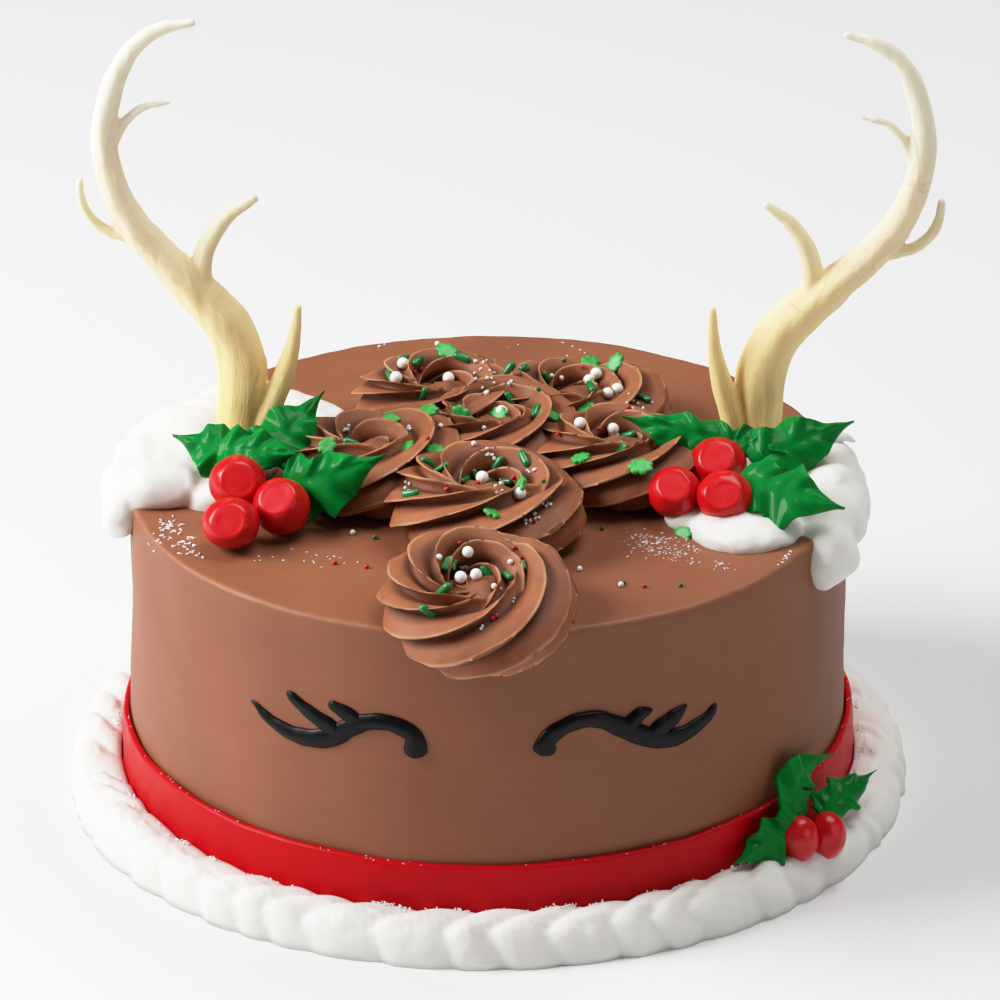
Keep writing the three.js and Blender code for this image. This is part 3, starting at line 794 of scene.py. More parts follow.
BEAM = [(0.5, 0), (-1, 14), (-1.5, 30), (1.5, 40), (6.5, 47), (22.5, 65), (29.5, 74), (34.5, 84),
        (37.5, 102), (35.5, 114), (31.5, 124), (26.5, 131), (20, 135), (10.5, 137)]
BEAM_RADII = [6.9, 7.2, 7.5, 7, 6, 5.2, 4.6, 4.2, 3.8, 3.3, 2.5, 1.4]
TINES = [
    ([(-4, 2, 3), (-9.5, 16, 4), (-13.5, 26, 4), (-17, 38, 4), (-18.5, 49, 4)],
     [3.8, 3.8, 3.3, 2.3, 1.3]),
    ([(9.5, 52), (9.5, 61), (7.5, 68), (1.5, 76.5), (-6.5, 82)], [3.4, 3.2, 2.9, 2.3, 1.3]),
    ([(27, 69), (37.5, 72), (42.5, 77), (44.5, 83), (44.5, 88)], [2.2, 2, 1.8, 1.5, 1.2]),
    ([(37, 93), (32.5, 104), (26, 110.5), (17.5, 112)], [2.2, 1.9, 1.4, 0.7]),
]
ANTLERS = {
    "antler_left": dict(foot=(-73.5, 9, 4), side=-1, lean=0),
    "antler_right": dict(foot=(80, 9, 1), side=1, lean=6),
}
ANTLER_REACH = 137.0
BEAM_STEPS = 230
TINE_STEPS = 60
ANTLER_SIDES = 26
ANTLER_VOXEL = 0.62
ANTLER_SHRINK = 0.1
STRAND_SHIFT = 40


def make_antler(name, spec, seed):
    lean = math.radians(spec["lean"])

    def place(point):
        out, height, forward = (*point, 0)[:3]
        x = out * math.cos(lean) + height * math.sin(lean)
        z = height * math.cos(lean) - out * math.sin(lean)
        foot = spec["foot"]
        return (spec["side"] * x + foot[0], -forward + foot[1], z + foot[2] + CAKE_HEIGHT)

    def ribs(s, angle):
        return 1 + 0.03 * np.sin(3 * angle + 5 * s + seed) + 0.018 * np.sin(7 * angle - 3 * s)

    strands = [([place(point) for point in knots], radii, steps) for knots, radii, steps in
               [(BEAM, BEAM_RADII, BEAM_STEPS)] + [(*tine, TINE_STEPS) for tine in TINES]]
    parts = [tube(*strand, ANTLER_SIDES, ribs) for strand in strands]
    points, faces = melt(name, parts, ANTLER_VOXEL, 5)
    line, along = [], []
    for knots, _, steps in strands:
        centre, _ = curve_through(knots, steps)
        along.extend(distance_along(centre) + STRAND_SHIFT * len(line))
        line.extend(centre)
    tree = KDTree(len(line))
    for i, point in enumerate(line):
        tree.insert(point, i)
    tree.balance()
    nearest = np.array([tree.find(point)[1] for point in points])
    away = points - np.array(line)[nearest]
    grain = np.stack([away[:, 0], away[:, 1], np.array(along)[nearest]], -1)
    height = (points[:, 2] - CAKE_HEIGHT) / ANTLER_REACH
    rough = Waves(seed + 3, 9)(points * [1, 1, 0.25]) * 0.1
    rough += Waves(seed + 4, 3.2)(points * [1, 1, 0.15]) * 0.05
    normal = away / np.maximum(np.linalg.norm(away, axis=1, keepdims=True), TINY)
    return make_piece("moulded_" + name, points + normal * (rough - ANTLER_SHRINK)[:, None], faces,
                      "antler_ivory", name, {"height": height, "grain": grain})


# White icing heaped at the foot of each antler, as balls with a place and radii

MOUNDS = {
    "mound_left": [
        ((-84, 13, 3), (23.5, 27, 13.5)), ((-62, 37, 1), (21, 17, 8)), ((-103, -4, -1), (11, 16, 10.5)),
        ((-101, 3, 3), (10.5, 13, 9)), ((-97, -13, 3.5), (15, 9.5, 7.5)), ((-77, -15, -1), (13, 10, 8)),
        ((-108, -13, -4), (6, 9, 8.5)), ((-77, 29, 4), (17, 16, 11.5)),
    ],
    "mound_right": [
        ((92, -2, 1), (20, 25, 11)), ((101, -19, -1), (12.5, 22, 12)), ((99, -39, -7), (9.5, 11, 11)),
        ((75, -38, 0), (17, 16.5, 8)), ((79, -22, 1), (17, 14, 9)), ((60, -28, 1), (9, 11, 6)),
        ((101, -1, 3), (9.5, 9, 8)), ((98, 3, 6), (7, 6, 8)),
    ],
}
# The tip of icing that was left when the spatula came off, as knots and radii
TIPS = {
    "mound_right": ([(95, 3, 6), (99, 2.5, 9.5), (103, 1.5, 11.5), (106, 1, 11.9), (108.7, 0.5, 10.8)],
                    [6, 5, 3, 1.6, 0.5]),
}
MOUND_VOXEL = 1.0


def make_mound(name, lobes, seed):
    unit, unit_faces = ball(24, 14)
    parts = [(unit * np.asarray(radii) + (np.array(at) + TOP), unit_faces) for at, radii in lobes]
    points, faces = melt(name, parts, MOUND_VOXEL, 6)
    middle = np.array(lobes[0][0]) * [0.8, 1, 0] + [0, 0, CAKE_HEIGHT - 6]
    folds = Waves(seed, 17)(points * [1, 1, 1.6])
    push = 0.55 * np.sign(folds) * np.abs(folds) ** 0.8 + 0.1 * Waves(seed + 7, 6)(points) - 0.3
    points = points + unit_rows(points - middle) * push[:, None]
    if name in TIPS:
        knots, radii = TIPS[name]
        points, faces = joined([(points, faces), tube(np.array(knots) + TOP, radii, 36, 20)])
    return make_piece("snow_" + name, points, faces, "white_icing", name)


# Berries: balls that the nozzle left with a flat face. Each has its place, its scale, the way that
# its flat face looks, the face's size and how much its swirl stands up.

BERRY_R = 8.5
BERRIES = {
    "left_back": ((-72.6, -27, 11), (1, 1, 0.95), (0.05, -0.8, 0.6), 1, 0.012),
    "left_inner": ((-59.6, -38, 8.4), (1, 1, 0.98), (-0.18, -0.72, 0.66), 1, 0.012),
    "left_front": ((-74, -47.5, 7.6), (1, 1, 0.88), (-0.16, -0.8, 0.57), 1, 0.04),
    "right_back": ((68, -17, 12), (1, 1, 0.88), (0.0, -0.7, 0.7), 1, 0.012),
    "right_inner": ((55, -31, 9), (0.92, 0.95, 0.9), (-0.1, -0.75, 0.65), 1, 0.012),
    "right_front": ((69.5, -36, 10), (1, 0.98, 0.88), (-0.05, -0.75, 0.65), 1, 0.06),
    "low_left": ((90.5, -77, -81), (0.7, 0.66, 0.84), (-0.3, -0.75, 0.5), 0.6, 0.012),
    "low_right": ((99, -71, -83), (0.66, 0.66, 0.86), (0.4, -0.7, 0.5), 0.6, 0.012),
}
FACE_DEGREES = 41
FACE_EDGE_DEGREES = 12
BERRY_SHRINK = 0.995


def make_berry(name, berry, seed):
    at, scale, facing, face_size, stands = berry
    unit, faces = ball(72, 44)
    rng = np.random.default_rng(seed)
    around = np.arctan2(unit[:, 1], unit[:, 0]) + rng.uniform(0, TAU)
    off = np.degrees(np.arccos(np.clip(unit[:, 2], -1, 1)))
    middle = FACE_DEGREES * face_size
    reach = middle * (1 + 0.1 * np.sin(around) + 0.05 * np.sin(2 * around + seed))
    level = np.cos(np.radians(middle)) + 0.03
    level = level - 0.1 * np.radians(middle) * np.sin(np.radians(off)) * np.sin(around)
    curl = bell((off - 0.62 * reach) / 4) * np.clip(np.cos(around + 0.9), 0, 1)
    swirl = 0.012 * np.sin(around - off / 9.0) * np.clip(off / reach, 0, 1) ** 2
    flat = unit.copy()
    flat[:, 2] = level + 0.035 * np.cos(np.radians(off) * 2.2) + swirl + stands * curl
    inside = smooth_step((reach - off) / FACE_EDGE_DEGREES)
    shape = unit + (flat - unit) * inside[:, None]
    lip = bell((off - reach) / 5.0) * (0.5 + 0.5 * np.cos(around - 0.8))
    shape *= (1 + 0.015 * lip + 0.01 * Waves(seed, 0.9)(unit))[:, None]
    pole = Vector(facing).normalized()
    turn = np.array(Vector((0, 0, 1)).rotation_difference(pole).to_matrix())
    points = (shape @ turn.T) * (np.array(scale) * BERRY_R * BERRY_SHRINK) + np.array(at) + TOP
    return make_piece("round_berry_" + name, points, faces, "red_icing", "berry_" + name,
                      {"facet": inside})


# Holly leaves: piped strips with ruffled sides that end in prickles. Each has three points of its
# path, its half width, the way that it faces and how wide its two sides are.

LEAVES = {
    "left_outer": ([(-70, -17, 13), (-80, -12, 15), (-92, -5, 16)], 9.5, (-0.2, -0.6, 0.8), (1, 1)),
    "left_inner": ([(-64, -16, 13), (-58, -7, 18), (-48, 6, 25)], 9.8, (0, -0.8, 0.6), (1, 1)),
    "left_front": ([(-58, -26, 11), (-48, -36, 16), (-29, -32, 22)], 11, (-0.3, -0.9, 0.4), (1.2, 0.68)),
    "left_middle": ([(-78, -14, 15), (-67, -19, 17), (-54, -22, 17)], 8, (0, -0.7, 0.7), (1, 1)),
    "right_inner": ([(73, -12, 15), (58, -11, 20), (40, -6, 22)], 8.5, (0, -0.8, 0.6), (0.72, 1.15)),
    "right_outer": ([(78, -19, 12), (91, -13, 17), (108, -6, 20)], 9.8, (0.2, -0.7, 0.7), (1, 1)),
    "right_front": ([(75, -30, 14), (87, -41, 13), (104, -45, 10)], 12, (0.2, -0.8, 0.6), (1.12, 0.72)),
    "right_middle": ([(72, -11, 16), (80, -14, 17), (88, -18, 15)], 6, (0, -0.8, 0.6), (1, 1)),
    "low_upper": ([(91, -70, -77), (84, -73, -60), (101, -48, -68)], 7.5, (0.7, -0.7, 0.3), (1, 1)),
    "low_right": ([(97, -65, -80), (104, -58, -76), (114, -40, -78)], 6.5, (0.5, -0.5, 0.7), (1, 1)),
    "low_left": ([(91, -75, -77), (83, -80, -80), (71, -89, -83)], 8.5, (0.6, -0.8, 0.3), (1, 1)),
}
LEAF_SPREAD_AT = [0.0, 0.17, 0.34, 0.5, 0.66, 1.0]
LEAF_SPREAD = [0.55, 1.04, 0.74, 1.0, 0.62, 0.03]
LEAF_POINTED = 1.35
LEAF_TIP_POINTED = 1.6
LEAF_ROWS = 64
LEAF_COLUMNS = 27


def edge_shape(t, rng):
    """How wide the leaf is along its length: a few blunt lobes and one long point."""
    count = len(LEAF_SPREAD)
    knots = np.array(LEAF_SPREAD_AT) + rng.normal(0, 0.02, count)
    knots[0], knots[-1] = 0, 1
    values = np.array(LEAF_SPREAD) * rng.uniform(0.88, 1.12, count)
    part = np.clip(np.searchsorted(knots, t, side="right") - 1, 0, count - 2)
    x = (t - knots[part]) / (knots[part + 1] - knots[part])
    low, high = values[part], values[part + 1]
    rising = low + (high - low) * x**LEAF_POINTED
    pointed = np.where(part == count - 2, LEAF_TIP_POINTED, LEAF_POINTED)
    return np.where(high > low, rising, high + (low - high) * (1 - x) ** pointed)


def make_leaf(name, leaf, seed):
    path, wide, facing, sides = leaf
    t = np.linspace(0, 1, LEAF_ROWS)
    s = np.sin(np.linspace(-math.pi / 2, math.pi / 2, LEAF_COLUMNS))[None, :]
    reach = np.abs(s)
    fade = smooth_step((1 - t) / 0.35)[:, None] * (0.3 + 0.7 * smooth_step(t / 0.15))[:, None]
    thick = (0.6 + 0.8 * (1 - s**2)) * (0.35 + 0.65 * fade)
    rng = np.random.default_rng(seed)
    a, b, c = (np.array(point, float) + TOP for point in path)
    line = np.outer((1 - t) ** 2, a) + np.outer(2 * t * (1 - t), b) + np.outer(t**2, c)
    tangent = unit_rows(np.outer(1 - t, b - a) + np.outer(t, c - b))
    across = unit_rows(np.cross(np.array(facing, float), tangent))
    normal = np.cross(tangent, across)
    left, right = (edge_shape(t, rng)[:, None] * wide * more for more in sides)
    half = np.where(s < 0, left, right)
    phase = rng.uniform(0, TAU, 3)
    waves = np.sin(TAU * (2.9 * t[:, None] - 0.4 * reach) + phase[0] + (s > 0) * 1.3)
    pleat = np.sin(TAU * (6.4 * t[:, None] - 0.8 * reach) + phase[1])
    lift = (1.6 * waves * reach**1.2 + 0.5 * pleat * reach**0.7) * fade
    lift += 1.1 * (1 - s**2) - 0.45 * bell(s / 0.16) * fade
    middle = line[:, None] + across[:, None] * (half * s)[..., None]
    upper = middle + normal[:, None] * (lift + thick)[..., None]
    lower = (middle + normal[:, None] * (lift - thick)[..., None])[:, ::-1]
    loop = np.concatenate([upper, lower], axis=1)
    edge = np.tile(np.concatenate([reach, reach], axis=1), (LEAF_ROWS, 1))
    return make_piece("piped_leaf_" + name, loop.reshape(-1, 3), grid_faces(*loop.shape[:2]),
                      "green_icing", "leaf_" + name, {"edge": edge.ravel()})


# Closed eyes: piped strokes on the side of the cake, as [angle from the front, height] and widths

EYES = {
    "lash_left": [
        ([(-11.2, 58), (-11.4, 64.5), (-13.9, 67.4), (-16.5, 68.1), (-19.3, 67.1), (-22, 64.4),
          (-24.7, 60.8), (-28, 59), (-31.4, 58.8), (-34.6, 60.2), (-37.2, 62.3), (-38.8, 64.4),
          (-39.8, 65.1)],
         [3.9, 2.9, 2.6, 2.5, 2.6, 2.9, 3.1, 3.1, 2.8, 2.5, 2.1, 1.6, 0.6]),
        ([(-23.7, 61.4), (-24.7, 63.4), (-27.9, 66.4), (-30.3, 68.8), (-32.7, 71.7)],
         [2.9, 2.7, 2.3, 1.9, 1.4]),
        ([(-20.5, 66.4), (-21.5, 68.4), (-23.3, 69.9), (-25.3, 71.3)], [2.6, 2.5, 2.0, 1.3]),
    ],
    "lash_right": [
        ([(8.6, 58.9), (9.4, 63.9), (12.2, 67.5), (14.9, 68.7), (17.4, 68.3), (20.1, 65.8),
          (22.9, 62.6), (25.8, 59.7), (28.8, 57.9), (31.8, 57.8), (34.7, 59.5), (36.9, 61.4),
          (38.3, 64.3)],
         [3.8, 2.8, 2.5, 2.5, 2.6, 2.8, 3.0, 3.1, 3.0, 2.8, 2.4, 2.0, 1.3]),
        ([(26.3, 59.8), (27.3, 61.2), (29.7, 63.6), (32.6, 66.9)], [2.8, 3.0, 2.3, 0.9]),
        ([(22.2, 63.6), (22.9, 65.3), (24.3, 67.5), (26.5, 68.1)], [2.6, 2.6, 2.0, 0.7]),
    ],
}
LASH_RELIEF = 0.62
LASH_WIDEST = 2.4
LASH_SINK = 0.4
LASH_SIDES = 20
LASH_END_STEPS = 5.0


def lash_stroke(knots, widths, rng):
    flat = [(math.radians(a) * radius_at(z), z, 0) for a, z in knots]
    count = 30 * (len(knots) - 1) // 3
    line, tangent = curve_through(flat, count)
    steps = np.arange(count)
    end = np.clip(np.minimum(steps, steps[::-1]) / LASH_END_STEPS + 0.08, 0, 1)
    width = spread_radii(widths, count) * np.sqrt(end * (2 - end))
    width *= 1 + 0.03 * np.sin(steps * 0.5 + rng.uniform(0, TAU))
    side = np.stack([-tangent[:, 1], tangent[:, 0]], -1)
    turn = circle(LASH_SIDES)
    spot = line[:, None, :2] + side[:, None] * (width[:, None] * np.cos(turn))[..., None]
    ridge = 1 + 0.1 * np.sin(3 * turn + rng.uniform(0, TAU))
    relief = np.minimum(width, LASH_WIDEST)[:, None] * LASH_RELIEF * np.sin(turn) * ridge
    z = spot[..., 1]
    angle = spot[..., 0] / radius_at(z) - math.pi / 2
    r = radius_at(z) + coat_swell(z) + np.maximum(relief, -LASH_SINK) + 0.1
    return ring_at(r, angle, z).reshape(-1, 3), grid_faces(count, LASH_SIDES)


def make_lash(name, strokes, seed):
    rng = np.random.default_rng(seed)
    points, faces = joined([lash_stroke(knots, widths, rng) for knots, widths in strokes])
    return make_piece("piped_" + name, points, faces, "black_icing", name)


def make_all(make, table, kind):
    """A piece for each row of the table, each with a seed of its own."""
    return [make(name, row, seed) for seed, (name, row) in enumerate(table.items(), SEEDS[kind])]


CAKE = make_cake()
SASH = make_sash()
BORDER = make_border()
PIPED = make_all(make_rosette, ROSETTES, "rosettes")
make_all(make_antler, ANTLERS, "antlers")
SNOW = make_all(make_mound, MOUNDS, "mounds")
ROUND = make_all(make_berry, BERRIES, "berries")
HOLLY = make_all(make_leaf, LEAVES, "leaves")
make_all(make_lash, EYES, "lashes")


# Sprinkles and sugar, laid on whatever a pixel of the picture shows


def surface_tree(pieces):
    points, faces = joined([(points_of(piece.data), faces_of(piece.data)) for piece in pieces])
    return BVHTree.FromPolygons((points * MM).tolist(), faces)


TREE = surface_tree([CAKE, BORDER, *PIPED, *SNOW, *ROUND, *HOLLY])


def spot_at(px, py, tree=TREE):
    """Where a pixel's ray meets the cake, and which way the surface faces there."""
    place, normal, _, _ = tree.ray_cast(EYE, ray_of(px, py))
    if place is None:
        return None
    if normal.dot(FORWARD) > 0:
        normal = -normal
    return np.array(place) / MM, np.array(normal)


def rod_shape(length=5.4, radius=1.1, sides=10):
    arc = np.linspace(0.15, math.pi / 2, 4)
    half = length / 2 - radius
    profile = [(radius * math.sin(a), -half - radius * math.cos(a)) for a in arc]
    profile += [(radius * math.sin(a), half + radius * math.cos(a)) for a in arc[::-1]]
    points, faces = lathe(profile, sides)
    return points[:, [2, 0, 1]], faces


def confetti_shape(size=3.05, thick=0.55, count=42):
    """A little holly leaf of pressed sugar, flat on both faces."""
    angle = circle(count)
    radius = size * (0.78 + 0.26 * np.abs(np.cos(3.5 * angle)) ** 0.7)
    rim = ring_at(radius, angle, 1) * [1.12, 0.86, 1]
    rings = [(0.55, -thick), (0.94, -thick), (1.0, -thick * 0.5), (1.0, thick * 0.5),
             (0.94, thick), (0.55, thick)]
    return np.concatenate([rim * [s, s, z] for s, z in rings]), grid_faces(len(rings), count)


def crystal_shape():
    points = np.array([(x, y, z) for x in (-1, 1) for y in (-1, 1) for z in (-1, 1)], float)
    faces = [[0, 1, 3, 2], [4, 6, 7, 5], [0, 4, 5, 1], [2, 3, 7, 6], [0, 2, 6, 4], [1, 5, 7, 3]]
    return points, faces


def frame_on(normal, turn, tilt=0.0):
    """Axes whose third one is the normal, turned about it and then tilted up on one side."""
    normal = Vector(normal).normalized()
    first = normal.orthogonal().normalized()
    second = normal.cross(first)
    ahead = first * math.cos(turn) + second * math.sin(turn)
    aside = normal.cross(ahead)
    lifted = normal * math.cos(tilt) + aside * math.sin(tilt)
    return np.array([ahead, lifted.cross(ahead), lifted]).T


def scatter(name, shape, places, slot, material):
    """One mesh with a copy of shape at each (middle, axes, scale)."""
    base, faces = shape
    copies = [((base * scale) @ axes.T + middle, faces) for middle, axes, scale in places]
    make_piece(name, *joined(copies), slot, material=material)


# Spots are pixels of the picture's rosettes, enlarged from this corner and by this factor.
CROP_X, CROP_Y, CROP_ZOOM = 300, 330, 4.0205


def crop(x, y):
    return CROP_X + x / CROP_ZOOM, CROP_Y + y / CROP_ZOOM


# Each piece of confetti lies flat, 0, or stands on its edge, 1.
CONFETTI = [(593, 90, 0), (515, 330, 0), (655, 340, 0), (800, 343, 1), (370, 358, 0), (1010, 350, 0),
            (1145, 320, 1), (1165, 132, 0), (1270, 135, 0), (1180, 185, 1), (110, 470, 0),
            (425, 478, 1), (543, 485, 0), (563, 560, 1), (1130, 520, 0), (1278, 485, 1),
            (1370, 553, 0), (590, 940, 0), (898, 943, 0), (878, 635, 1), (775, 740, 1), (1540, 825, 1)]
RODS = [(418, 117), (653, 112), (370, 190), (845, 165), (983, 190), (1168, 235), (495, 255),
        (848, 275), (1325, 422), (1385, 280), (797, 535), (905, 520), (655, 600), (705, 590),
        (775, 605), (832, 605), (445, 665), (205, 452), (760, 970), (640, 990), (840, 990),
        (955, 330), (510, 535), (580, 1040), (515, 1125), (470, 125), (900, 160)]
PEARLS = [(405, 148), (400, 180), (600, 182), (1200, 180), (1170, 200), (1220, 250), (1257, 240),
          (820, 330), (1250, 390), (1262, 425), (1142, 385), (728, 612), (873, 670), (668, 884),
          (708, 1000), (650, 1010)]
RED_DOTS = [(455, 167), (485, 160), (515, 440), (1040, 412), (1320, 315), (1200, 400), (863, 592),
            (895, 915), (790, 1155), (775, 1165), (268, 958), (140, 942), (590, 640), (640, 855),
            (715, 620), (1135, 150), (860, 880), (940, 770), (1385, 1035)]
WHITE_DOTS = [(552, 62), (1010, 188), (1045, 190), (567, 392), (735, 392), (698, 463), (748, 250),
              (1125, 967), (1290, 1032), (212, 822), (788, 1035), (850, 935), (550, 915)]
GREEN_DOTS = [(1300, 1022), (963, 240), (1035, 238), (980, 612), (1215, 803), (1060, 125),
              (1530, 1032), (300, 840)]
EDGE_ON_TILT = 0.75

# Middle, spread and number of the crystals in the rosettes
SUGAR_SPOTS = [(745, 150, 45, 8), (740, 205, 45, 6), (850, 220, 30, 2), (180, 405, 40, 4),
               (440, 630, 28, 4), (760, 495, 45, 6), (940, 575, 26, 4), (990, 700, 26, 4),
               (950, 745, 26, 4), (915, 775, 24, 4), (735, 1190, 14, 2), (790, 1035, 20, 2),
               (860, 1095, 18, 2), (655, 965, 24, 3), (1320, 290, 34, 5), (435, 400, 24, 4),
               (800, 615, 44, 7), (1395, 300, 30, 2), (330, 60, 22, 2), (700, 940, 60, 5)]
# Middle and spread in pixels of the picture, number of flakes and their scale
SUGAR_DRIFTS = [
    ((648, 541), (22, 9), 90, 0.6), ((676, 551), (26, 9), 60, 0.6), ((655, 545), (30, 12), 36, 1),
    ((720, 564), (26, 9), 22, 0.8), ((790, 554), (16, 9), 34, 0.8), ((172, 530), (24, 18), 50, 1.4),
    ((200, 552), (26, 10), 20, 1.3), ((260, 556), (40, 7), 16, 0.8), ((330, 560), (40, 8), 12, 0.8),
    ((700, 548), (30, 10), 14, 1), ((560, 350), (60, 7), 8, 0.8),
]


def sprinkle_places(rng, spots, sink, tilt, scale, spread):
    made = []
    for spot in spots:
        found = spot_at(*crop(*spot[:2]))
        if found is None:
            continue
        place, normal = found
        lean = (EDGE_ON_TILT if spot[2:] == (1,) else 0.0) + rng.normal(0, tilt)
        size = scale * rng.uniform(1 - spread, 1 + spread)
        axes = frame_on(normal, rng.uniform(0, TAU), lean)
        made.append((place + normal * sink * size, axes, size))
    return made


def make_sprinkles():
    rng = np.random.default_rng(SEEDS["sprinkles"])
    pearl = sugar("pearl_white", (242, 240, 236), (252, 251, 249), 0.3, 0.2)
    dot = ball(10, 7)
    # Name, shape, spots, how high the middle lies, tilt, scale, spread of sizes, slot and material
    kinds = [
        ("confetti", confetti_shape(), CONFETTI, 0.35, 0.25, 1, 0.12, "green_icing",
         sugar("confetti_green", (38, 142, 54), (64, 170, 76), 0.45)),
        ("rods", rod_shape(), RODS, 0.55, 0.2, 1, 0.15, "green_icing",
         sugar("rod_green", (0, 98, 42), (8, 122, 58), 0.35, 0.2)),
        ("pearls", ball(16, 11), PEARLS, 0.8, 0, 1.8, 0.08, "white_icing", pearl),
        ("red_dots", dot, RED_DOTS, 0.75, 0, 0.7, 0.1, "red_icing",
         sugar("dot_red", (176, 14, 26), (200, 24, 36), 0.35)),
        ("white_dots", dot, WHITE_DOTS, 0.75, 0, 0.85, 0.12, "white_icing", pearl),
        ("green_dots", dot, GREEN_DOTS, 0.75, 0, 0.7, 0.1, "green_icing",
         sugar("dot_green", (0, 92, 50), (10, 120, 62), 0.35)),
    ]
    for name, shape, spots, sink, tilt, scale, spread, slot, material in kinds:
        places = sprinkle_places(rng, spots, sink, tilt, scale, spread)
        scatter("sprinkle_" + name, shape, places, slot, material)


def flake(rng):
    """Half sizes of one clear flake of sugar."""
    return np.array([rng.uniform(0.2, 0.65), rng.uniform(0.12, 0.28), rng.uniform(0.06, 0.14)])


def crystal(rng):
    """Half sizes of one coarse crystal of sugar."""
    return rng.uniform(0.24, 0.52, 3)


def near_berry(place):
    """Whether a place on the cake lies under or at a berry."""
    for at, scale, *_ in BERRIES.values():
        if math.hypot(place[0] - at[0], place[1] - at[1]) < BERRY_R * max(scale) + 1:
            return True
    return False


def sugar_on(tree, rng, px, py, size):
    """One grain of sugar where a pixel's ray meets the tree, or nothing."""
    found = spot_at(px, py, tree)
    if found is None or near_berry(found[0]):
        return []
    place, normal = found
    axes = frame_on(normal, rng.uniform(0, TAU), rng.normal(0, 0.25))
    return [(place + normal * size[2] * 0.8, axes, size)]


def make_sugar():
    """Crystals in the rosettes and drifts of flakes on the cake's top, none of them on a berry."""
    rng = np.random.default_rng(SEEDS["sugar"])
    tree, snow = surface_tree([CAKE, *PIPED]), surface_tree(SNOW)
    places = []
    for x, y, spread, count in SUGAR_SPOTS:
        for _ in range(count):
            px, py = crop(x + rng.normal(0, spread * 0.5), y + rng.normal(0, spread * 0.35))
            places += sugar_on(tree, rng, px, py, crystal(rng))
    for (px, py), (wide, high), count, scale in SUGAR_DRIFTS:
        for _ in range(count):
            x, y = px + rng.normal(0, wide * 0.5), py + rng.normal(0, high * 0.5)
            if spot_at(x, y, snow) is None:
                places += sugar_on(tree, rng, x, y, flake(rng) * scale)
    scatter("sugar_flakes", crystal_shape(), places, "white_icing", CLEAR_SUGAR)


# How many clumps of shards there are, and how many shards in them, loose and on the sash's edge
CLUMPS = 44
IN_CLUMPS, LOOSE, ON_RIM = 260, 160, 90
RIM_SCALE = 0.45
# The lowest place of a shard and the height that it falls from, in metres
LOWEST_SUGAR = 0.007
SUGAR_FALLS_FROM = 0.04


def make_border_sugar():
    """Shards of sugar where the border meets the sash and on the sash's upper edge, all round."""
    rng = np.random.default_rng(SEEDS["border_sugar"])
    clumps = rng.uniform(0, TAU, CLUMPS)
    groove = BORDER_INNER_R + 1
    grains = [(rng.choice(clumps) + rng.normal(0, 0.015), groove + abs(rng.normal(0, 1.3)), 1.0)
              for _ in range(IN_CLUMPS)]
    grains += [(rng.uniform(0, TAU), groove + abs(rng.normal(0, 1.3)), 0.7) for _ in range(LOOSE)]
    grains += [(rng.uniform(0, TAU), radius_at(SASH_TOP) + rng.uniform(0.6, 1.8), RIM_SCALE)
               for _ in range(ON_RIM)]
    tree = surface_tree([SASH, BORDER])
    places = []
    for angle, r, scale in grains:
        out = Vector((math.cos(angle), math.sin(angle), 0))
        start = out * r * MM + Vector((0, 0, SUGAR_FALLS_FROM))
        place, _, _, _ = tree.ray_cast(start, Vector((0, 0, -1)))
        if place is None or place.z < LOWEST_SUGAR:
            continue
        size = flake(rng) * [1.5, 1, 1] * scale
        leaning = out if scale > RIM_SCALE else Vector((0, 0, 1))
        axes = frame_on(leaning, rng.uniform(0, TAU), rng.normal(0, 0.35))
        places.append((np.array(place) / MM + np.array([0, 0, 0.35 * size[0] + 0.05]), axes, size))
    scatter("border_sugar", crystal_shape(), places, "white_icing", CLEAR_SUGAR)


make_sprinkles()
make_sugar()
make_border_sugar()


# Studio, in metres

FLOOR_HALF = 6.0
SKY = 0.1
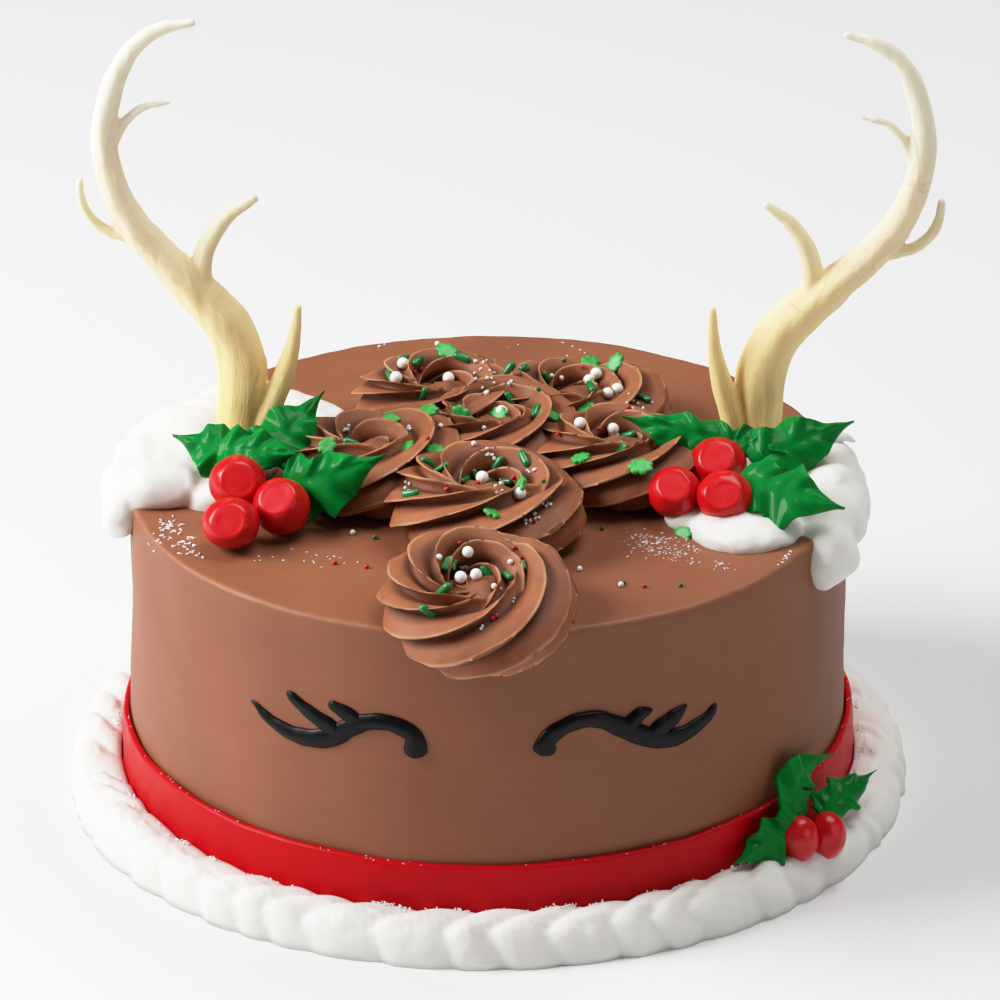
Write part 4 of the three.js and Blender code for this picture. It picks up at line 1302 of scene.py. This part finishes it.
# Place, target, side and power of each lamp
LAMPS = {
    "key": ((-1.06, -0.08, 0.8), (0, 0, 0.08), 0.7, 30),
    "top": ((0.42, 0.28, 1.6), (0.03, 0, 0.1), 1.0, 19.5),
    "fill": ((1.3, -0.9, 0.6), (0, 0, 0.08), 0.8, 3),
}


def make_lamp(name, place, target, side, power):
    light = bpy.data.lights.new(name, "AREA")
    light.size = side
    light.energy = power
    lamp = add_object(name, light)
    lamp.location = place
    lamp.rotation_euler = (Vector(target) - Vector(place)).to_track_quat("-Z", "Y").to_euler()


def make_floor():
    shader = Shader("floor", Roughness=0.8, Specular_IOR_Level=0.1)
    shader.colour(shader.noise(3.0, 2.0, 0.5), (229, 229, 229), (234, 234, 234), ALL)
    mesh = bpy.data.meshes.new("floor")
    corners = [(x * FLOOR_HALF, y * FLOOR_HALF, 0) for x, y in ((-1, -1), (1, -1), (1, 1), (-1, 1))]
    mesh.from_pydata(corners, [], [(0, 1, 2, 3)])
    mesh.materials.append(shader.material)
    floor = add_object("floor", mesh)


def make_sky():
    world = bpy.data.worlds.new("studio")
    bpy.context.scene.world = world
    world.use_nodes = True
    background = world.node_tree.nodes["Background"]
    background.inputs["Color"].default_value = (1, 1, 1, 1)
    background.inputs["Strength"].default_value = SKY


TONE_BRIGHTEST = 1.8
TONE_KNEE = 0.5
TONE_LIMIT = 1.02
TONE_POINTS = 25


def shown(level):
    """The picture's level for a level of light."""
    room = TONE_LIMIT - TONE_KNEE
    return min(level, TONE_KNEE) + room * (1 - math.exp(-max(level - TONE_KNEE, 0) / room))


def soften_highlights():
    """A tone curve as a camera has it: straight up to middle greys, then ever flatter."""
    view = bpy.context.scene.view_settings
    view.view_transform = "Standard"
    view.use_curve_mapping = True
    view.curve_mapping.white_level = [TONE_BRIGHTEST] * 3
    tone = view.curve_mapping.curves[3].points
    for level in np.linspace(0, TONE_BRIGHTEST, TONE_POINTS)[1:-1]:
        tone.new(level / TONE_BRIGHTEST, shown(level))
    tone[-1].location = (1, shown(TONE_BRIGHTEST))
    for point in tone:
        point.handle_type = "VECTOR"
    view.curve_mapping.update()


make_floor()
make_sky()
for lamp_name, lamp_spec in LAMPS.items():
    make_lamp(lamp_name, *lamp_spec)
soften_highlights()
